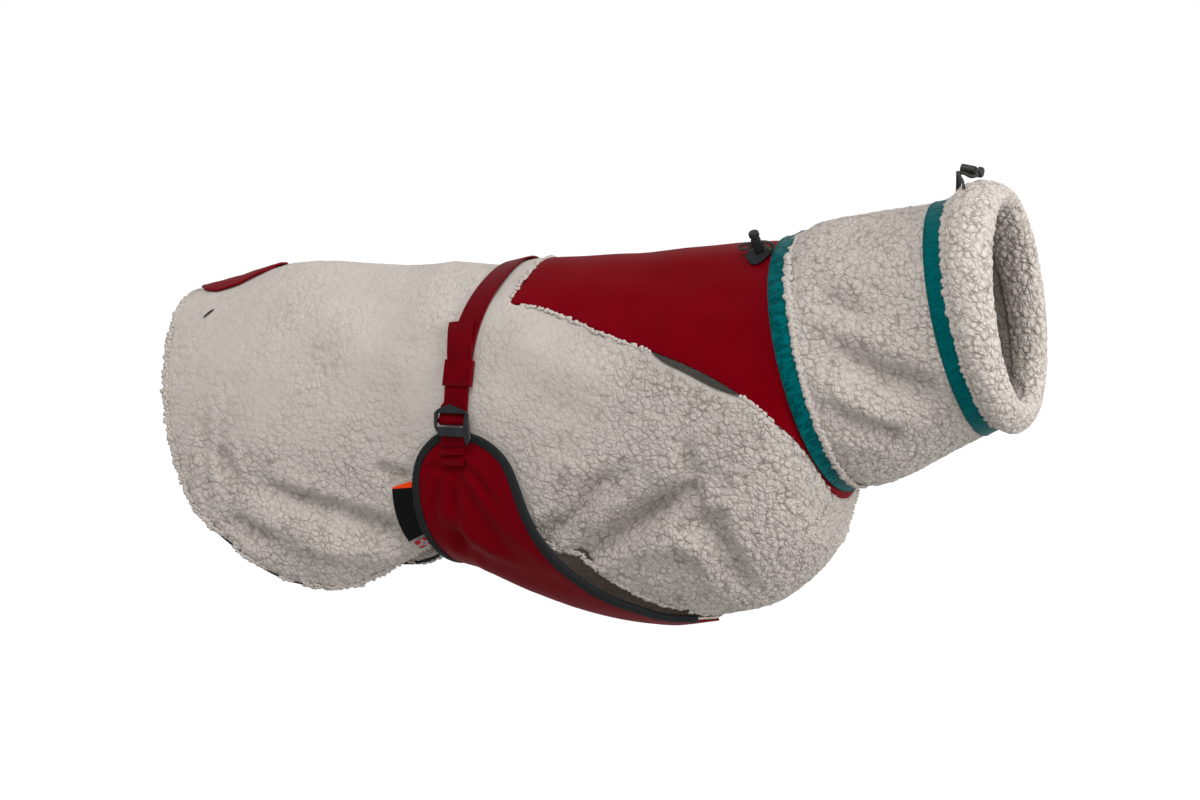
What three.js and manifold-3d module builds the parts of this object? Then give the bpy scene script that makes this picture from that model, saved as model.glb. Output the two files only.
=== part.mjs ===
// A dog's winter coat in pile fleece, with a red softshell yoke and belly panel, a high collar with a
// turned-back cuff, two drawcord casings and a webbing strap over the back that hooks to the belly panel on
// each side. It stands open and filled out, as it does when worn. Sizes are in millimetres.
// +X points to the dog's head, +Z up, and -Y is the dog's right side. The origin is on the inside of the
// yoke, at the top of the withers, where the coat hangs on the dog's back.
import * as THREE from "three";
import { mergeVertices } from "three/addons/utils/BufferGeometryUtils.js";
import Module from "manifold-3d";

const wasm = await Module();
wasm.setup();

// Cloth
const FLEECE = 4; // wall of the pile fleece, pile included
const YOKE = 2.4; // softshell of the yoke
const YOKE_SINK = 0.6; // how far the yoke lies below the top of the pile
const SHELL = 1.5; // softshell of the belly panel and the tail patch
const LINING = 2.5; // fleece inside the belly panel
const WING_LIFT = 3.4; // height of the belly panel's shell above the pile at the tip of a wing
const BELLY_LIFT = 5.2; // the same under the belly
const SEAM = 0.3; // gap between two pieces that meet or lie on each other
const TAPE = 2.4; // thickness of the bound edge of the fleece
const TAPE_WIDTH = 1.8; // how much of it shows beyond the fleece
const TAPE_SINK = 1.2; // how far the bound edge lies below the top of the pile
const PANEL_TAPE = 7; // width of the bound edge of the belly panel
const CASING_HALF = 8.5; // half the width of a drawcord casing
const FAR_HEM_LIFT = 5.4; // degrees by which the hem lies higher on the left flank than on the right one
const CASING_BULGE = 3; // height of the cord tunnel in the neck casing

// Webbing and hardware
const WEBBING_HALF = 10;
const WEBBING = 1.4;
const BUCKLE_ANGLE = 91.4;
const BUCKLE_PLATE = 3;
const BUCKLE_TILT = 12.8; // degrees that the lower end of the buckle stands off
const BUCKLE_DROP = 2.2; // how far the middle of the bar lies behind the plate
const BUCKLE_BAR_RADIUS = 1.3;
const BUCKLE_BAR_LIFT = 4.9; // height of the middle of the bar above the pile
const CORD_RADIUS = 1.25;

// Colours
const CREAM = 0xcfc8bf;
const DARK_FLEECE = 0x8f8a84;
const RED = 0x7d0514;
const BELLY_RED = 0x5f0410;
const TEAL = 0x067a7a;
const CHARCOAL = 0x2f3133;
const WEBBING_RED = 0x7a0a16;
const GREY = 0x6a6866;
const BLACK = 0x141415;
const CORD_GREY = 0x55564f;
const METAL = 0x4d5257;

// Sections of the body from the tail to the neck seam. Each is a ring through a top point on the back and a
// base point under the belly, and square fills out its lower corners. topX is also the section's station.
const BODY_RINGS = [
  { topX: -485, topZ: -44, baseX: -470, baseZ: -250, halfWidth: 74, square: 0.16 },
  { topX: -470, topZ: -39, baseX: -455, baseZ: -260, halfWidth: 78, square: 0.16 },
  { topX: -430, topZ: -29, baseX: -420, baseZ: -279, halfWidth: 84, square: 0.17 },
  { topX: -395, topZ: -18.5, baseX: -388, baseZ: -289, halfWidth: 87, square: 0.18 },
  { topX: -360, topZ: -14.5, baseX: -356, baseZ: -292, halfWidth: 89, square: 0.18 },
  { topX: -310, topZ: -16.5, baseX: -308, baseZ: -286, halfWidth: 90, square: 0.18 },
  { topX: -270, topZ: -17.5, baseX: -268, baseZ: -263, halfWidth: 89, square: 0.18 },
  { topX: -233, topZ: -13.5, baseX: -232, baseZ: -247.5, halfWidth: 90, square: 0.18 },
  { topX: -205, topZ: -17.5, baseX: -204, baseZ: -251.5, halfWidth: 91, square: 0.16 },
  { topX: -167, topZ: -10.5, baseX: -165, baseZ: -268.5, halfWidth: 93, square: 0.13 },
  { topX: -115, topZ: -7, baseX: -110, baseZ: -288, halfWidth: 96, square: 0.09 },
  { topX: -65, topZ: -4.5, baseX: -52, baseZ: -296, halfWidth: 98, square: 0.06 },
  { topX: -25, topZ: 1, baseX: 0, baseZ: -290, halfWidth: 98, square: 0.04 },
  { topX: 0, topZ: 3, baseX: 39, baseZ: -279, halfWidth: 97.5, square: 0.03 },
  { topX: 34, topZ: 7, baseX: 80, baseZ: -242, halfWidth: 94, square: 0 },
  { topX: 45, topZ: 7, baseX: 90, baseZ: -209, halfWidth: 92, square: 0 },
  { topX: 53, topZ: 6, baseX: 98, baseZ: -183.5, halfWidth: 90, square: 0 },
];
const NECK = 53; // station of the neck seam

// Sections of the collar from the neck seam to the lip of the cuff.
const COLLAR_RINGS = [
  { topX: 53, topZ: 6, baseX: 98, baseZ: -183.5, halfWidth: 90, square: 0 },
  { topX: 64, topZ: 15.5, baseX: 111, baseZ: -187, halfWidth: 88, square: 0 },
  { topX: 82, topZ: 21.5, baseX: 126, baseZ: -185, halfWidth: 85, square: 0 },
  { topX: 110, topZ: 26, baseX: 150, baseZ: -175, halfWidth: 79, square: 0 },
  { topX: 140, topZ: 31, baseX: 181, baseZ: -158, halfWidth: 74, square: 0 },
  { topX: 170, topZ: 35, baseX: 210, baseZ: -143, halfWidth: 71, square: 0 },
  { topX: 200, topZ: 42.5, baseX: 230, baseZ: -134, halfWidth: 70, square: 0 },
  { topX: 234, topZ: 47, baseX: 249, baseZ: -130.5, halfWidth: 69, square: 0 },
];
const COLLAR_CASING = { from: 167, to: 183, thickness: 1.2 };
const COLLAR_END = 186; // station where the collar passes into the cuff

// The cuff's closed profile: the station along the collar and the height above the collar's surface.
const CUFF_PROFILE = [
  { station: 186.4, height: 1 },
  { station: 188, height: 5 },
  { station: 194, height: 8.5 },
  { station: 204, height: 9.5 },
  { station: 215, height: 7 },
  { station: 223.5, height: 1.5 },
  { station: 225.5, height: -5 },
  { station: 221, height: -10 },
  { station: 210, height: -12.5 },
  { station: 198, height: -12 },
  { station: 189, height: -9 },
  { station: 186.4, height: -5 },
];

// Lines over the fleece from the yoke's edge to the hem, from the spine round to the middle of the chest, on
// one side. Each end is a station and an angle round the section, in degrees from the spine. neck is the
// angle where the line, carried on over the yoke, meets the neck seam.
const RAYS = [
  { yoke: -157, yokeAngle: 0, hem: -470, hemAngle: 0, neck: 0 },
  { yoke: -158, yokeAngle: 12, hem: -475, hemAngle: 25, neck: 6 },
  { yoke: -160, yokeAngle: 24, hem: -475, hemAngle: 51, neck: 12 },
  { yoke: -164, yokeAngle: 34, hem: -474, hemAngle: 76, neck: 18 },
  { yoke: -168, yokeAngle: 43, hem: -468, hemAngle: 99, neck: 25, corner: true },
  { yoke: -143, yokeAngle: 44.5, hem: -449, hemAngle: 118, neck: 33 },
  { yoke: -114, yokeAngle: 49, hem: -409, hemAngle: 127, neck: 41 },
  { yoke: -84, yokeAngle: 54.5, hem: -369, hemAngle: 136, neck: 50 },
  { yoke: -56, yokeAngle: 59.5, hem: -324, hemAngle: 142, neck: 60 },
  { yoke: -31, yokeAngle: 65, hem: -278, hemAngle: 146.5, neck: 70 },
  { yoke: -8, yokeAngle: 71, hem: -232, hemAngle: 143, neck: 81 },
  { yoke: 14, yokeAngle: 80, hem: -190, hemAngle: 137, neck: 93 },
  { yoke: 32, yokeAngle: 92.5, hem: -155, hemAngle: 129, neck: 107 },
  { yoke: 43, yokeAngle: 108, hem: -124, hemAngle: 128.5, neck: 121 },
  { yoke: 49, yokeAngle: 126, hem: -95, hemAngle: 133.5, neck: 135 },
  { yoke: 50, yokeAngle: 145, hem: -69, hemAngle: 145, neck: 150 },
  { yoke: 49, yokeAngle: 163, hem: -46, hemAngle: 159, neck: 165 },
  { yoke: 48.5, yokeAngle: 180, hem: -36, hemAngle: 180, neck: 180 },
];

// The largest folds of the fleece, as troughs in side view, alike on both sides.
const FOLDS = [
  { fromX: -372, fromZ: -192, toX: -300, toZ: -214, width: 15, depth: 6 },
  { fromX: -318, fromZ: -210, toX: -262, toZ: -228, width: 12, depth: 4 },
  { fromX: -402, fromZ: -222, toX: -360, toZ: -243, width: 13, depth: 4 },
  { fromX: -409, fromZ: -165, toX: -399, toZ: -190, width: 9, depth: 3 },
  { fromX: -127, fromZ: -228, toX: -66, toZ: -178, width: 11, depth: 5 },
  { fromX: -98, fromZ: -242, toX: -40, toZ: -206, width: 12, depth: 8 },
  { fromX: -48, fromZ: -211, toX: -8, toZ: -186, width: 12, depth: 6 },
  { fromX: -6, fromZ: -150, toX: 2, toZ: -206, width: 9, depth: 3 },
  { fromX: 6, fromZ: -212, toX: 34, toZ: -262, width: 11, depth: 4 },
];
const FAR_SHIFT = 9; // how far the folds of the left side lie from those of the right side

// The belly panel from the tip of a wing to the middle of the belly: the two ends of each row, as stations
// and angles.
const PANEL_ROWS = [
  { front: -184, frontAngle: 94.2, rear: -209, rearAngle: 94.8 },
  { front: -167, frontAngle: 96.8, rear: -224, rearAngle: 100.5 },
  { front: -154, frontAngle: 101, rear: -235, rearAngle: 106.5 },
  { front: -147, frontAngle: 107.5, rear: -239, rearAngle: 114 },
  { front: -141, frontAngle: 115, rear: -239.5, rearAngle: 122 },
  { front: -133, frontAngle: 122, rear: -237, rearAngle: 131 },
  { front: -121, frontAngle: 128.5, rear: -233, rearAngle: 139 },
  { front: -108, frontAngle: 134, rear: -229, rearAngle: 146 },
  { front: -93, frontAngle: 140.5, rear: -227, rearAngle: 153 },
  { front: -76, frontAngle: 146.5, rear: -226, rearAngle: 160 },
  { front: -56, frontAngle: 153, rear: -225, rearAngle: 167 },
  { front: -40, frontAngle: 158.5, rear: -224.5, rearAngle: 173.5 },
  { front: -24, frontAngle: 164, rear: -224, rearAngle: 180 },
];
const CHEST_SEAM = -18; // station where the panel ends in the middle of the chest
const GIRTH = 2.1; // length of cloth round the body for each degree

// Station of the strap's centre line at each angle.
const STRAP_LINE = [
  { angle: 0, station: -182 },
  { angle: 13, station: -184 },
  { angle: 25, station: -187 },
  { angle: 37, station: -192 },
  { angle: 48, station: -196 },
  { angle: 60, station: -198.5 },
  { angle: 75, station: -199.5 },
  { angle: 90, station: -200.5 },
  { angle: 120, station: -201.5 },
];

// The strap's end in profile: the distance up from the buckle's bar and the height above the pile.
const STRAP_END = [
  { up: 16, height: 2 },
  { up: 10, height: 2 },
  { up: 4, height: 2.3 },
  { up: 0.6, height: 2.6 },
  { up: -1.9, height: 3.2 },
  { up: -2.6, height: 4.9 },
  { up: -1.9, height: 6.5 },
  { up: 0.2, height: 7.2 },
  { up: 2.6, height: 6.3 },
  { up: 5.4, height: 4.6 },
  { up: 9, height: 3.8 },
  { up: 14, height: 3.7 },
];
const STRAP_RETURN = 79; // how far up the strap its loose end comes back

// Outline of the buckle's plate from its peak, round its left side, its lower bar and its hook.
const BUCKLE_OUTLINE = [
  [-3.4, 13.2],
  [-13.5, 8.6],
  [-16.2, 5.6],
  [-14.8, -5.8],
  [-12, -9.4],
  [-9.2, -12.9],
  [12, -12.9],
  [13.6, -17],
  [15.6, -20],
  [18, -13],
  [15.2, -5.5],
  [14, 2],
  [13.2, 6.2],
  [10.6, 8.2],
];
const BUCKLE_SLOT = { left: -13, right: 10.4, bottom: -5.6, top: 5.6 };

// Half the patch over the tail, as stations and angles from the spine.
const TAIL_PATCH = [
  { station: -467, angle: 9 },
  { station: -455, angle: 18 },
  { station: -441, angle: 24 },
  { station: -420, angle: 22 },
  { station: -402, angle: 20 },
  { station: -392, angle: 15 },
];

const root = new THREE.Group();
const DEGREE = Math.PI / 180;

// A row of a table at a place between its rows, on a smooth curve through them that breaks only at a corner.
function rowAt(rows, key, place) {
  const last = rows.length - 1;
  let i = 0;
  while (i < last - 1 && rows[i + 1][key] <= place) i++;
  const from = rows[i];
  const to = rows[i + 1];
  const before = from.corner || i === 0 ? from : rows[i - 1];
  const after = to.corner || i + 1 === last ? to : rows[i + 2];
  const length = to[key] - from[key];
  const t = (place - from[key]) / length;
  const row = {};
  for (const column of Object.keys(from)) {
    const startSlope = ((to[column] - before[column]) / (to[key] - before[key])) * length;
    const endSlope = ((after[column] - from[column]) / (after[key] - from[key])) * length;
    const rise = to[column] - from[column];
    const bend = startSlope + endSlope - 2 * rise;
    row[column] = from[column] + t * (startSlope + t * (3 * rise - 2 * startSlope - endSlope + t * bend));
  }
  return row;
}

// A point on the bare surface. The angle is in degrees, positive on the dog's right side.
function ringPoint(rings, station, angle) {
  const ring = rowAt(rings, "topX", station);
  const turn = angle * DEGREE;
  const fullness = Math.cos(turn) < 0 ? 1 + ring.square * Math.sin(2 * turn) ** 2 : 1;
  const down = (1 - Math.cos(turn) * fullness) / 2;
  return new THREE.Vector3(
    ring.topX + (ring.baseX - ring.topX) * down,
    -ring.halfWidth * Math.sin(turn) * fullness,
    ring.topZ + (ring.baseZ - ring.topZ) * down,
  );
}

function ringNormal(rings, station, angle) {
  const step = 0.2;
  const first = rings[0].topX;
  const end = rings[rings.length - 1].topX;
  const ahead = ringPoint(rings, Math.min(station + step, end), angle);
  const along = ahead.sub(ringPoint(rings, Math.max(station - step, first), angle));
  const round = ringPoint(rings, station, angle + step).sub(ringPoint(rings, station, angle - step));
  return round.cross(along).normalize();
}

function surfacePoint(rings, station, angle, height) {
  return ringPoint(rings, station, angle).addScaledVector(ringNormal(rings, station, angle), height);
}

function onBody(station, angle, height) {
  return surfacePoint(BODY_RINGS, station, angle, height);
}

// How deep the folds are at a point of the fleece.
function foldDepth(point) {
  if (Math.abs(point.y) < 20) return 0;
  const shift = point.y > 0 ? FAR_SHIFT : 0;
  let depth = 0;
  for (const fold of FOLDS) {
    const alongX = fold.toX - fold.fromX;
    const alongZ = fold.toZ - fold.fromZ;
    const length = Math.hypot(alongX, alongZ);
    const offX = point.x - shift - fold.fromX;
    const offZ = point.z - fold.fromZ;
    const along = (offX * alongX + offZ * alongZ) / length;
    const across = (offX * alongZ - offZ * alongX) / length;
    const past = Math.max(-along, along - length, 0);
    depth += fold.depth * Math.exp(-((across / fold.width) ** 2) - (past / (2 * fold.width)) ** 2);
  }
  return depth;
}

function onFleece(station, angle, height) {
  const point = ringPoint(BODY_RINGS, station, angle);
  return point.addScaledVector(ringNormal(BODY_RINGS, station, angle), height - foldDepth(point));
}

function material(colour, roughness = 0.9, metalness = 0) {
  return new THREE.MeshStandardMaterial({ color: colour, roughness, metalness });
}

function volumeOf(positions, index) {
  const a = new THREE.Vector3();
  const b = new THREE.Vector3();
  const c = new THREE.Vector3();
  let sum = 0;
  for (let k = 0; k < index.length; k += 3) {
    a.fromArray(positions, index[k] * 3);
    b.fromArray(positions, index[k + 1] * 3);
    c.fromArray(positions, index[k + 2] * 3);
    sum += a.dot(b.cross(c));
  }
  return sum;
}

function addMesh(name, positions, index, surface) {
  const geometry = new THREE.BufferGeometry();
  geometry.setAttribute("position", new THREE.Float32BufferAttribute(positions, 3));
  geometry.setIndex(volumeOf(positions, index) < 0 ? index.reverse() : index);
  geometry.computeVertexNormals();
  const mesh = new THREE.Mesh(geometry, surface);
  mesh.name = name;
  root.add(mesh);
}

// A tube of sections, each a closed loop of points. With wrap the last section joins the first, and without
// it the two ends are closed flat.
function sweep(name, sections, surface, wrap = false) {
  const count = sections.length;
  const sides = sections[0].length;
  const positions = sections.flat().flatMap((p) => [p.x, p.y, p.z]);
  const index = [];
  const at = (i, j) => (i % count) * sides + (j % sides);
  for (let i = 0; i < (wrap ? count : count - 1); i++) {
    for (let j = 0; j < sides; j++) {
      index.push(at(i, j), at(i, j + 1), at(i + 1, j + 1), at(i, j), at(i + 1, j + 1), at(i + 1, j));
    }
  }
  for (let j = 1; !wrap && j < sides - 1; j++) {
    index.push(at(0, 0), at(0, j + 1), at(0, j), at(count - 1, 0), at(count - 1, j), at(count - 1, j + 1));
  }
  addMesh(name, positions, index, surface);
}

// A sheet of cloth between an outer and an inner grid of points of the same size.
function wall(name, outer, inner, surface, wrap = false) {
  const rows = outer.length;
  const columns = outer[0].length;
  const positions = [outer, inner].flat(2).flatMap((p) => [p.x, p.y, p.z]);
  const index = [];
  const at = (side, i, j) => (side * rows + (i % rows)) * columns + j;
  const quad = (a, b, c, d) => index.push(a, b, c, a, c, d);
  for (let i = 0; i < (wrap ? rows : rows - 1); i++) {
    for (let j = 0; j < columns - 1; j++) {
      quad(at(0, i, j), at(0, i, j + 1), at(0, i + 1, j + 1), at(0, i + 1, j));
      quad(at(1, i, j), at(1, i + 1, j), at(1, i + 1, j + 1), at(1, i, j + 1));
    }
    quad(at(0, i, 0), at(0, i + 1, 0), at(1, i + 1, 0), at(1, i, 0));
    quad(at(0, i, columns - 1), at(1, i, columns - 1), at(1, i + 1, columns - 1), at(0, i + 1, columns - 1));
  }
  for (let j = 0; !wrap && j < columns - 1; j++) {
    quad(at(0, 0, j), at(1, 0, j), at(1, 0, j + 1), at(0, 0, j + 1));
    quad(at(0, rows - 1, j), at(0, rows - 1, j + 1), at(1, rows - 1, j + 1), at(1, rows - 1, j));
  }
  addMesh(name, positions, index, surface);
}

// A sheet of thickness whose outer face is at the height, from a function of (i, j, height).
function sheet(name, rows, columns, point, height, thickness, surface, wrap = false) {
  const row = (i, at) => Array.from({ length: columns }, (_, j) => point(i, j, at));
  const grid = (at) => Array.from({ length: rows }, (_, i) => row(i, at));
  wall(name, grid(height), grid(height - thickness), surface, wrap);
}

// Places on the loop round the coat, from the spine down the right side to the chest and back up the left.
const RAY_SPLIT = 2; // lines of the mesh for each row of RAYS
const HALF_LOOP = (RAYS.length - 1) * RAY_SPLIT;
const numberedRays = RAYS.map((ray, number) => ({ number, ...ray }));

function rayAt(i) {
  const side = i <= HALF_LOOP ? 1 : -1;
  const ray = rowAt(numberedRays, "number", (side > 0 ? i : 2 * HALF_LOOP - i) / RAY_SPLIT);
  if (side < 0) ray.hemAngle -= FAR_HEM_LIFT * Math.exp(-(((ray.hem + 320) / 75) ** 2));
  return { side, ...ray };
}

// The hem on line i, as a station and a length round the body, moved on to the fleece by a distance.
function hemPlace(i, distance) {
  const ray = rayAt(i);
  const before = rayAt((i + 2 * HALF_LOOP - 1) % (2 * HALF_LOOP));
  const after = rayAt((i + 1) % (2 * HALF_LOOP));
  const turn = after.side * after.hemAngle - before.side * before.hemAngle;
  const round = (THREE.MathUtils.euclideanModulo(turn + 180, 360) - 180) * GIRTH;
  const inward = new THREE.Vector2(round, before.hem - after.hem).normalize();
  return new THREE.Vector2(ray.hem, ray.side * ray.hemAngle * GIRTH).addScaledVector(inward, distance);
}

function bodyFleece() {
  const steps = 15;
  const point = (i, j, height) => {
    const ray = rayAt(i);
    const start = new THREE.Vector2(ray.yoke, ray.side * ray.yokeAngle * GIRTH);
    const end = hemPlace(i, TAPE_WIDTH + 2 * SEAM);
    start.lerp(end, SEAM / start.distanceTo(end)).lerp(end, j / steps);
    return onFleece(start.x, start.y / GIRTH, height);
  };
  sheet("body_fleece", 2 * HALF_LOOP, steps + 1, point, 0, FLEECE, material(CREAM, 0.98), true);
}

// The bound edge of the fleece, a little below the top of the pile.
function hemBinding() {
  const profile = [
    [TAPE_WIDTH, -TAPE_SINK],
    [0.7, -TAPE_SINK],
    [0, -TAPE_SINK - TAPE / 2],
    [0.7, -TAPE_SINK - TAPE],
    [TAPE_WIDTH, -TAPE_SINK - TAPE],
  ];
  const sections = [];
  for (let i = 0; i < 2 * HALF_LOOP; i++) {
    sections.push(profile.map(([distance, height]) => {
      const place = hemPlace(i, distance);
      return onFleece(place.x, place.y / GIRTH, height);
    }));
  }
  sweep("hem_binding", sections, material(CHARCOAL, 0.85), true);
}

function yoke() {
  const steps = 5;
  const point = (i, j, height) => {
    const ray = rayAt(i);
    const t = j / steps;
    const station = ray.yoke + (NECK - 0.3 - ray.yoke) * t;
    const angle = ray.yokeAngle + (ray.neck - ray.yokeAngle) * t;
    return onBody(station, ray.side * angle, height);
  };
  sheet("yoke", 2 * HALF_LOOP, steps + 1, point, -YOKE_SINK, YOKE, material(RED, 0.6), true);
}

const AROUND = 40; // lines round the collar

function collar() {
  const steps = 7;
  const point = (i, j, height) => {
    const station = NECK + SEAM + (COLLAR_END - NECK - SEAM) * (j / steps);
    return surfacePoint(COLLAR_RINGS, station, (i / AROUND) * 360, height);
  };
  sheet("collar", AROUND, steps + 1, point, 0, FLEECE, material(CREAM, 0.98), true);
}

function collarCuff() {
  const sections = [];
  for (let i = 0; i < AROUND; i++) {
    const angle = (i / AROUND) * 360;
    sections.push(CUFF_PROFILE.map((p) => surfacePoint(COLLAR_RINGS, p.station, angle, p.height)));
  }
  sweep("collar_cuff", sections, material(CREAM, 0.98), true);
}

// A point by the neck seam: along is the distance from the seam, to the head or, below 0, to the body.
function neckPoint(angle, along, height) {
  const rings = along < 0 ? BODY_RINGS : COLLAR_RINGS;
  const seam = ringPoint(rings, NECK, angle);
  const step = seam.distanceTo(ringPoint(rings, NECK + Math.sign(along), angle));
  return surfacePoint(rings, NECK + along / step, angle, height);
}

function neckCasing() {
  const sections = [];
  for (let i = 0; i < AROUND; i++) {
    const angle = (i / AROUND) * 360;
    sections.push([
      neckPoint(angle, -CASING_HALF, SEAM),
      neckPoint(angle, -CASING_HALF, 1.6),
      neckPoint(angle, -CASING_HALF / 2, CASING_BULGE),
      neckPoint(angle, CASING_HALF / 2, CASING_BULGE),
      neckPoint(angle, CASING_HALF, 1.6),
      neckPoint(angle, CASING_HALF, SEAM),
      neckPoint(angle, 0.01, 1.2),
    ]);
  }
  sweep("neck_casing", sections, material(TEAL, 0.4), true);
}

function collarCasing() {
  const { from, to, thickness } = COLLAR_CASING;
  const point = (i, j, height) => {
    const station = from + ((to - from) * j) / 2;
    return surfacePoint(COLLAR_RINGS, station, (i / AROUND) * 360, height);
  };
  sheet("collar_casing", AROUND, 3, point, 2 * SEAM + thickness, thickness, material(TEAL, 0.4), true);
}

// The outline of the belly panel from the right corner of the chest seam, round the right wing, along the
// rear edge and round the left wing to the left corner, as stations and distances round the body.
function panelOutline() {
  const fronts = PANEL_ROWS.map((row) => new THREE.Vector2(row.front, row.frontAngle * GIRTH));
  const rears = PANEL_ROWS.map((row) => new THREE.Vector2(row.rear, row.rearAngle * GIRTH));
  const right = [...fronts.reverse(), ...rears];
  const left = right.slice(0, -1).reverse();
  return [...right, ...left.map((p) => new THREE.Vector2(p.x, 360 * GIRTH - p.y))];
}

// A point of the outline moved into the panel by a distance.
function insetPoint(outline, k, distance) {
  const before = outline[Math.max(k - 1, 0)];
  const after = outline[Math.min(k + 1, outline.length - 1)];
  const along = after.clone().sub(before).normalize();
  return outline[k].clone().add(new THREE.Vector2(-along.y, along.x).multiplyScalar(-distance));
}

// A point of the belly panel. The height is from the inner face of its shell, which lies closest at the tips
// of the wings.
function onPanel(place, height) {
  const angle = place.y / GIRTH;
  const away = THREE.MathUtils.smoothstep(180 - Math.abs(angle - 180), 98, 130);
  return onBody(place.x, angle, height + WING_LIFT + (BELLY_LIFT - WING_LIFT) * away);
}

// The belly panel inside its bound edge: rows from the tip of one wing to the tip of the other.
function panelSheet(name, height, thickness, surface) {
  const outline = panelOutline();
  const half = PANEL_ROWS.length;
  const columns = 8;
  const total = outline.length;
  const rows = [];
  const edge = (k) => insetPoint(outline, k, PANEL_TAPE + SEAM);
  for (let r = 0; r < half; r++) rows.push([edge(half - 1 - r), edge(half + r)]);
  rows.push([new THREE.Vector2(CHEST_SEAM, 180 * GIRTH), edge(2 * half - 1)]);
  for (let r = half - 1; r >= 0; r--) rows.push([edge(total - half + r), edge(total - half - 1 - r)]);
  const point = (i, j, at) => onPanel(rows[i][0].clone().lerp(rows[i][1], j / columns), at);
  sheet(name, rows.length, columns + 1, point, height, thickness, surface);
}

function bellyPanel() {
  panelSheet("belly_panel", SHELL, SHELL, material(BELLY_RED, 0.6));
  panelSheet("belly_lining", -SEAM, LINING, material(DARK_FLEECE, 0.98));
}

function bellyBinding() {
  const outline = panelOutline();
  const low = -SEAM - LINING - 0.2;
  const high = SHELL + 0.6;
  const sections = outline.map((edge, k) => {
    const inner = insetPoint(outline, k, PANEL_TAPE);
    const round = insetPoint(outline, k, 1.2);
    return [
      onPanel(inner, high),
      onPanel(round, high),
      onPanel(edge, (low + high) / 2),
      onPanel(round, low),
      onPanel(inner, low),
    ];
  });
  sweep("belly_binding", sections, material(CHARCOAL, 0.85));
}

// A place on the strap's centre line at an angle, and the direction across the webbing.
function strapFrame(angle) {
  const onLine = (at) => onBody(rowAt(STRAP_LINE, "angle", Math.abs(at)).station, at, 0);
  const station = rowAt(STRAP_LINE, "angle", Math.abs(angle)).station;
  const normal = ringNormal(BODY_RINGS, station, angle);
  const along = onLine(angle + 0.5).sub(onLine(angle - 0.5)).normalize();
  return { centre: onBody(station, angle, 0), normal, across: normal.clone().cross(along).normalize() };
}

// The angle on the strap's line at a distance up from the buckle's bar.
function angleUp(up) {
  return BUCKLE_ANGLE - up / GIRTH;
}

// A flat ribbon of webbing. Each stop is a frame and a height above the pile.
function ribbon(name, stops, halfWidth, thickness, surface) {
  const centres = stops.map(({ frame, height }) => {
    return frame.centre.clone().addScaledVector(frame.normal, height);
  });
  const sections = stops.map(({ frame }, k) => {
    const ahead = centres[Math.min(k + 1, centres.length - 1)].clone();
    const along = ahead.sub(centres[Math.max(k - 1, 0)]);
    const out = along.cross(frame.across).normalize().multiplyScalar(thickness / 2);
    const side = frame.across.clone().multiplyScalar(halfWidth);
    const corner = (a, b) => centres[k].clone().addScaledVector(side, a).addScaledVector(out, b);
    return [corner(-1, -1), corner(1, -1), corner(1, 1), corner(-1, 1)];
  });
  sweep(name, sections, surface);
}

const SIDES = [
  { label: "right", sign: 1 },
  { label: "left", sign: -1 },
];

// One webbing from the loose end on the right, round the right buckle, over the back and round the left one.
function strap() {
  const stop = (side, up, height) => ({ frame: strapFrame(side * angleUp(up)), height });
  const ending = [];
  const { height: returning } = STRAP_END[STRAP_END.length - 1];
  for (let up = STRAP_RETURN; up > 16; up -= 8) ending.push({ up, height: returning });
  const end = [...ending, ...[...STRAP_END].reverse()];
  const over = [];
  for (let k = 12; k >= -12; k--) over.push({ frame: strapFrame((k / 12) * angleUp(24)), height: 2.1 });
  const right = end.map(({ up, height }) => stop(1, up, height));
  const left = end.map(({ up, height }) => stop(-1, up, height)).reverse();
  ribbon("back_strap", [...right, ...over, ...left], WEBBING_HALF, WEBBING, material(WEBBING_RED, 0.7));
}

// A short sleeve of webbing that keeps the loose end against the strap, open to the cloth.
function keepers() {
  const outer = [[-12.6, 1.3], [-12.6, 4.8], [-11.6, 6], [11.6, 6], [12.6, 4.8], [12.6, 1.3]];
  const inner = [[-11.4, 1.3], [-11.4, 4.5], [-10.9, 5], [10.9, 5], [11.4, 4.5], [11.4, 1.3]];
  for (const { label, sign } of SIDES) {
    const grid = (profile) => [28, 35, 42, 49].map((up) => {
      const { centre, normal, across } = strapFrame(sign * angleUp(up));
      const at = ([x, height]) => centre.clone().addScaledVector(across, x).addScaledVector(normal, height);
      return profile.map(at);
    });
    wall(`keeper_${label}`, grid(outer), grid(inner), material(WEBBING_RED, 0.7));
  }
}

// The doubled webbing that is sewn to the tip of the wing and caught by the buckle's hook.
function bellyLoops() {
  const profile = [
    { up: -34, height: 7.2 },
    { up: -28, height: 7.1 },
    { up: -22, height: 7.1 },
    { up: -15, height: 7.3 },
    { up: -8.5, height: 7.5 },
  ];
  for (const { label, sign } of SIDES) {
    const stops = profile.map(({ up, height }) => ({ frame: strapFrame(sign * angleUp(up)), height }));
    const thickness = 2 * WEBBING - 0.2;
    ribbon(`belly_loop_${label}`, stops, WEBBING_HALF, thickness, material(WEBBING_RED, 0.7));
  }
}

function solid(geometry) {
  geometry.deleteAttribute("normal");
  geometry.deleteAttribute("uv");
  const merged = mergeVertices(geometry, 1e-4);
  const vertProperties = new Float32Array(merged.attributes.position.array);
  const triVerts = new Uint32Array(merged.index.array);
  return new wasm.Manifold(new wasm.Mesh({ numProp: 3, vertProperties, triVerts }));
}

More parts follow.
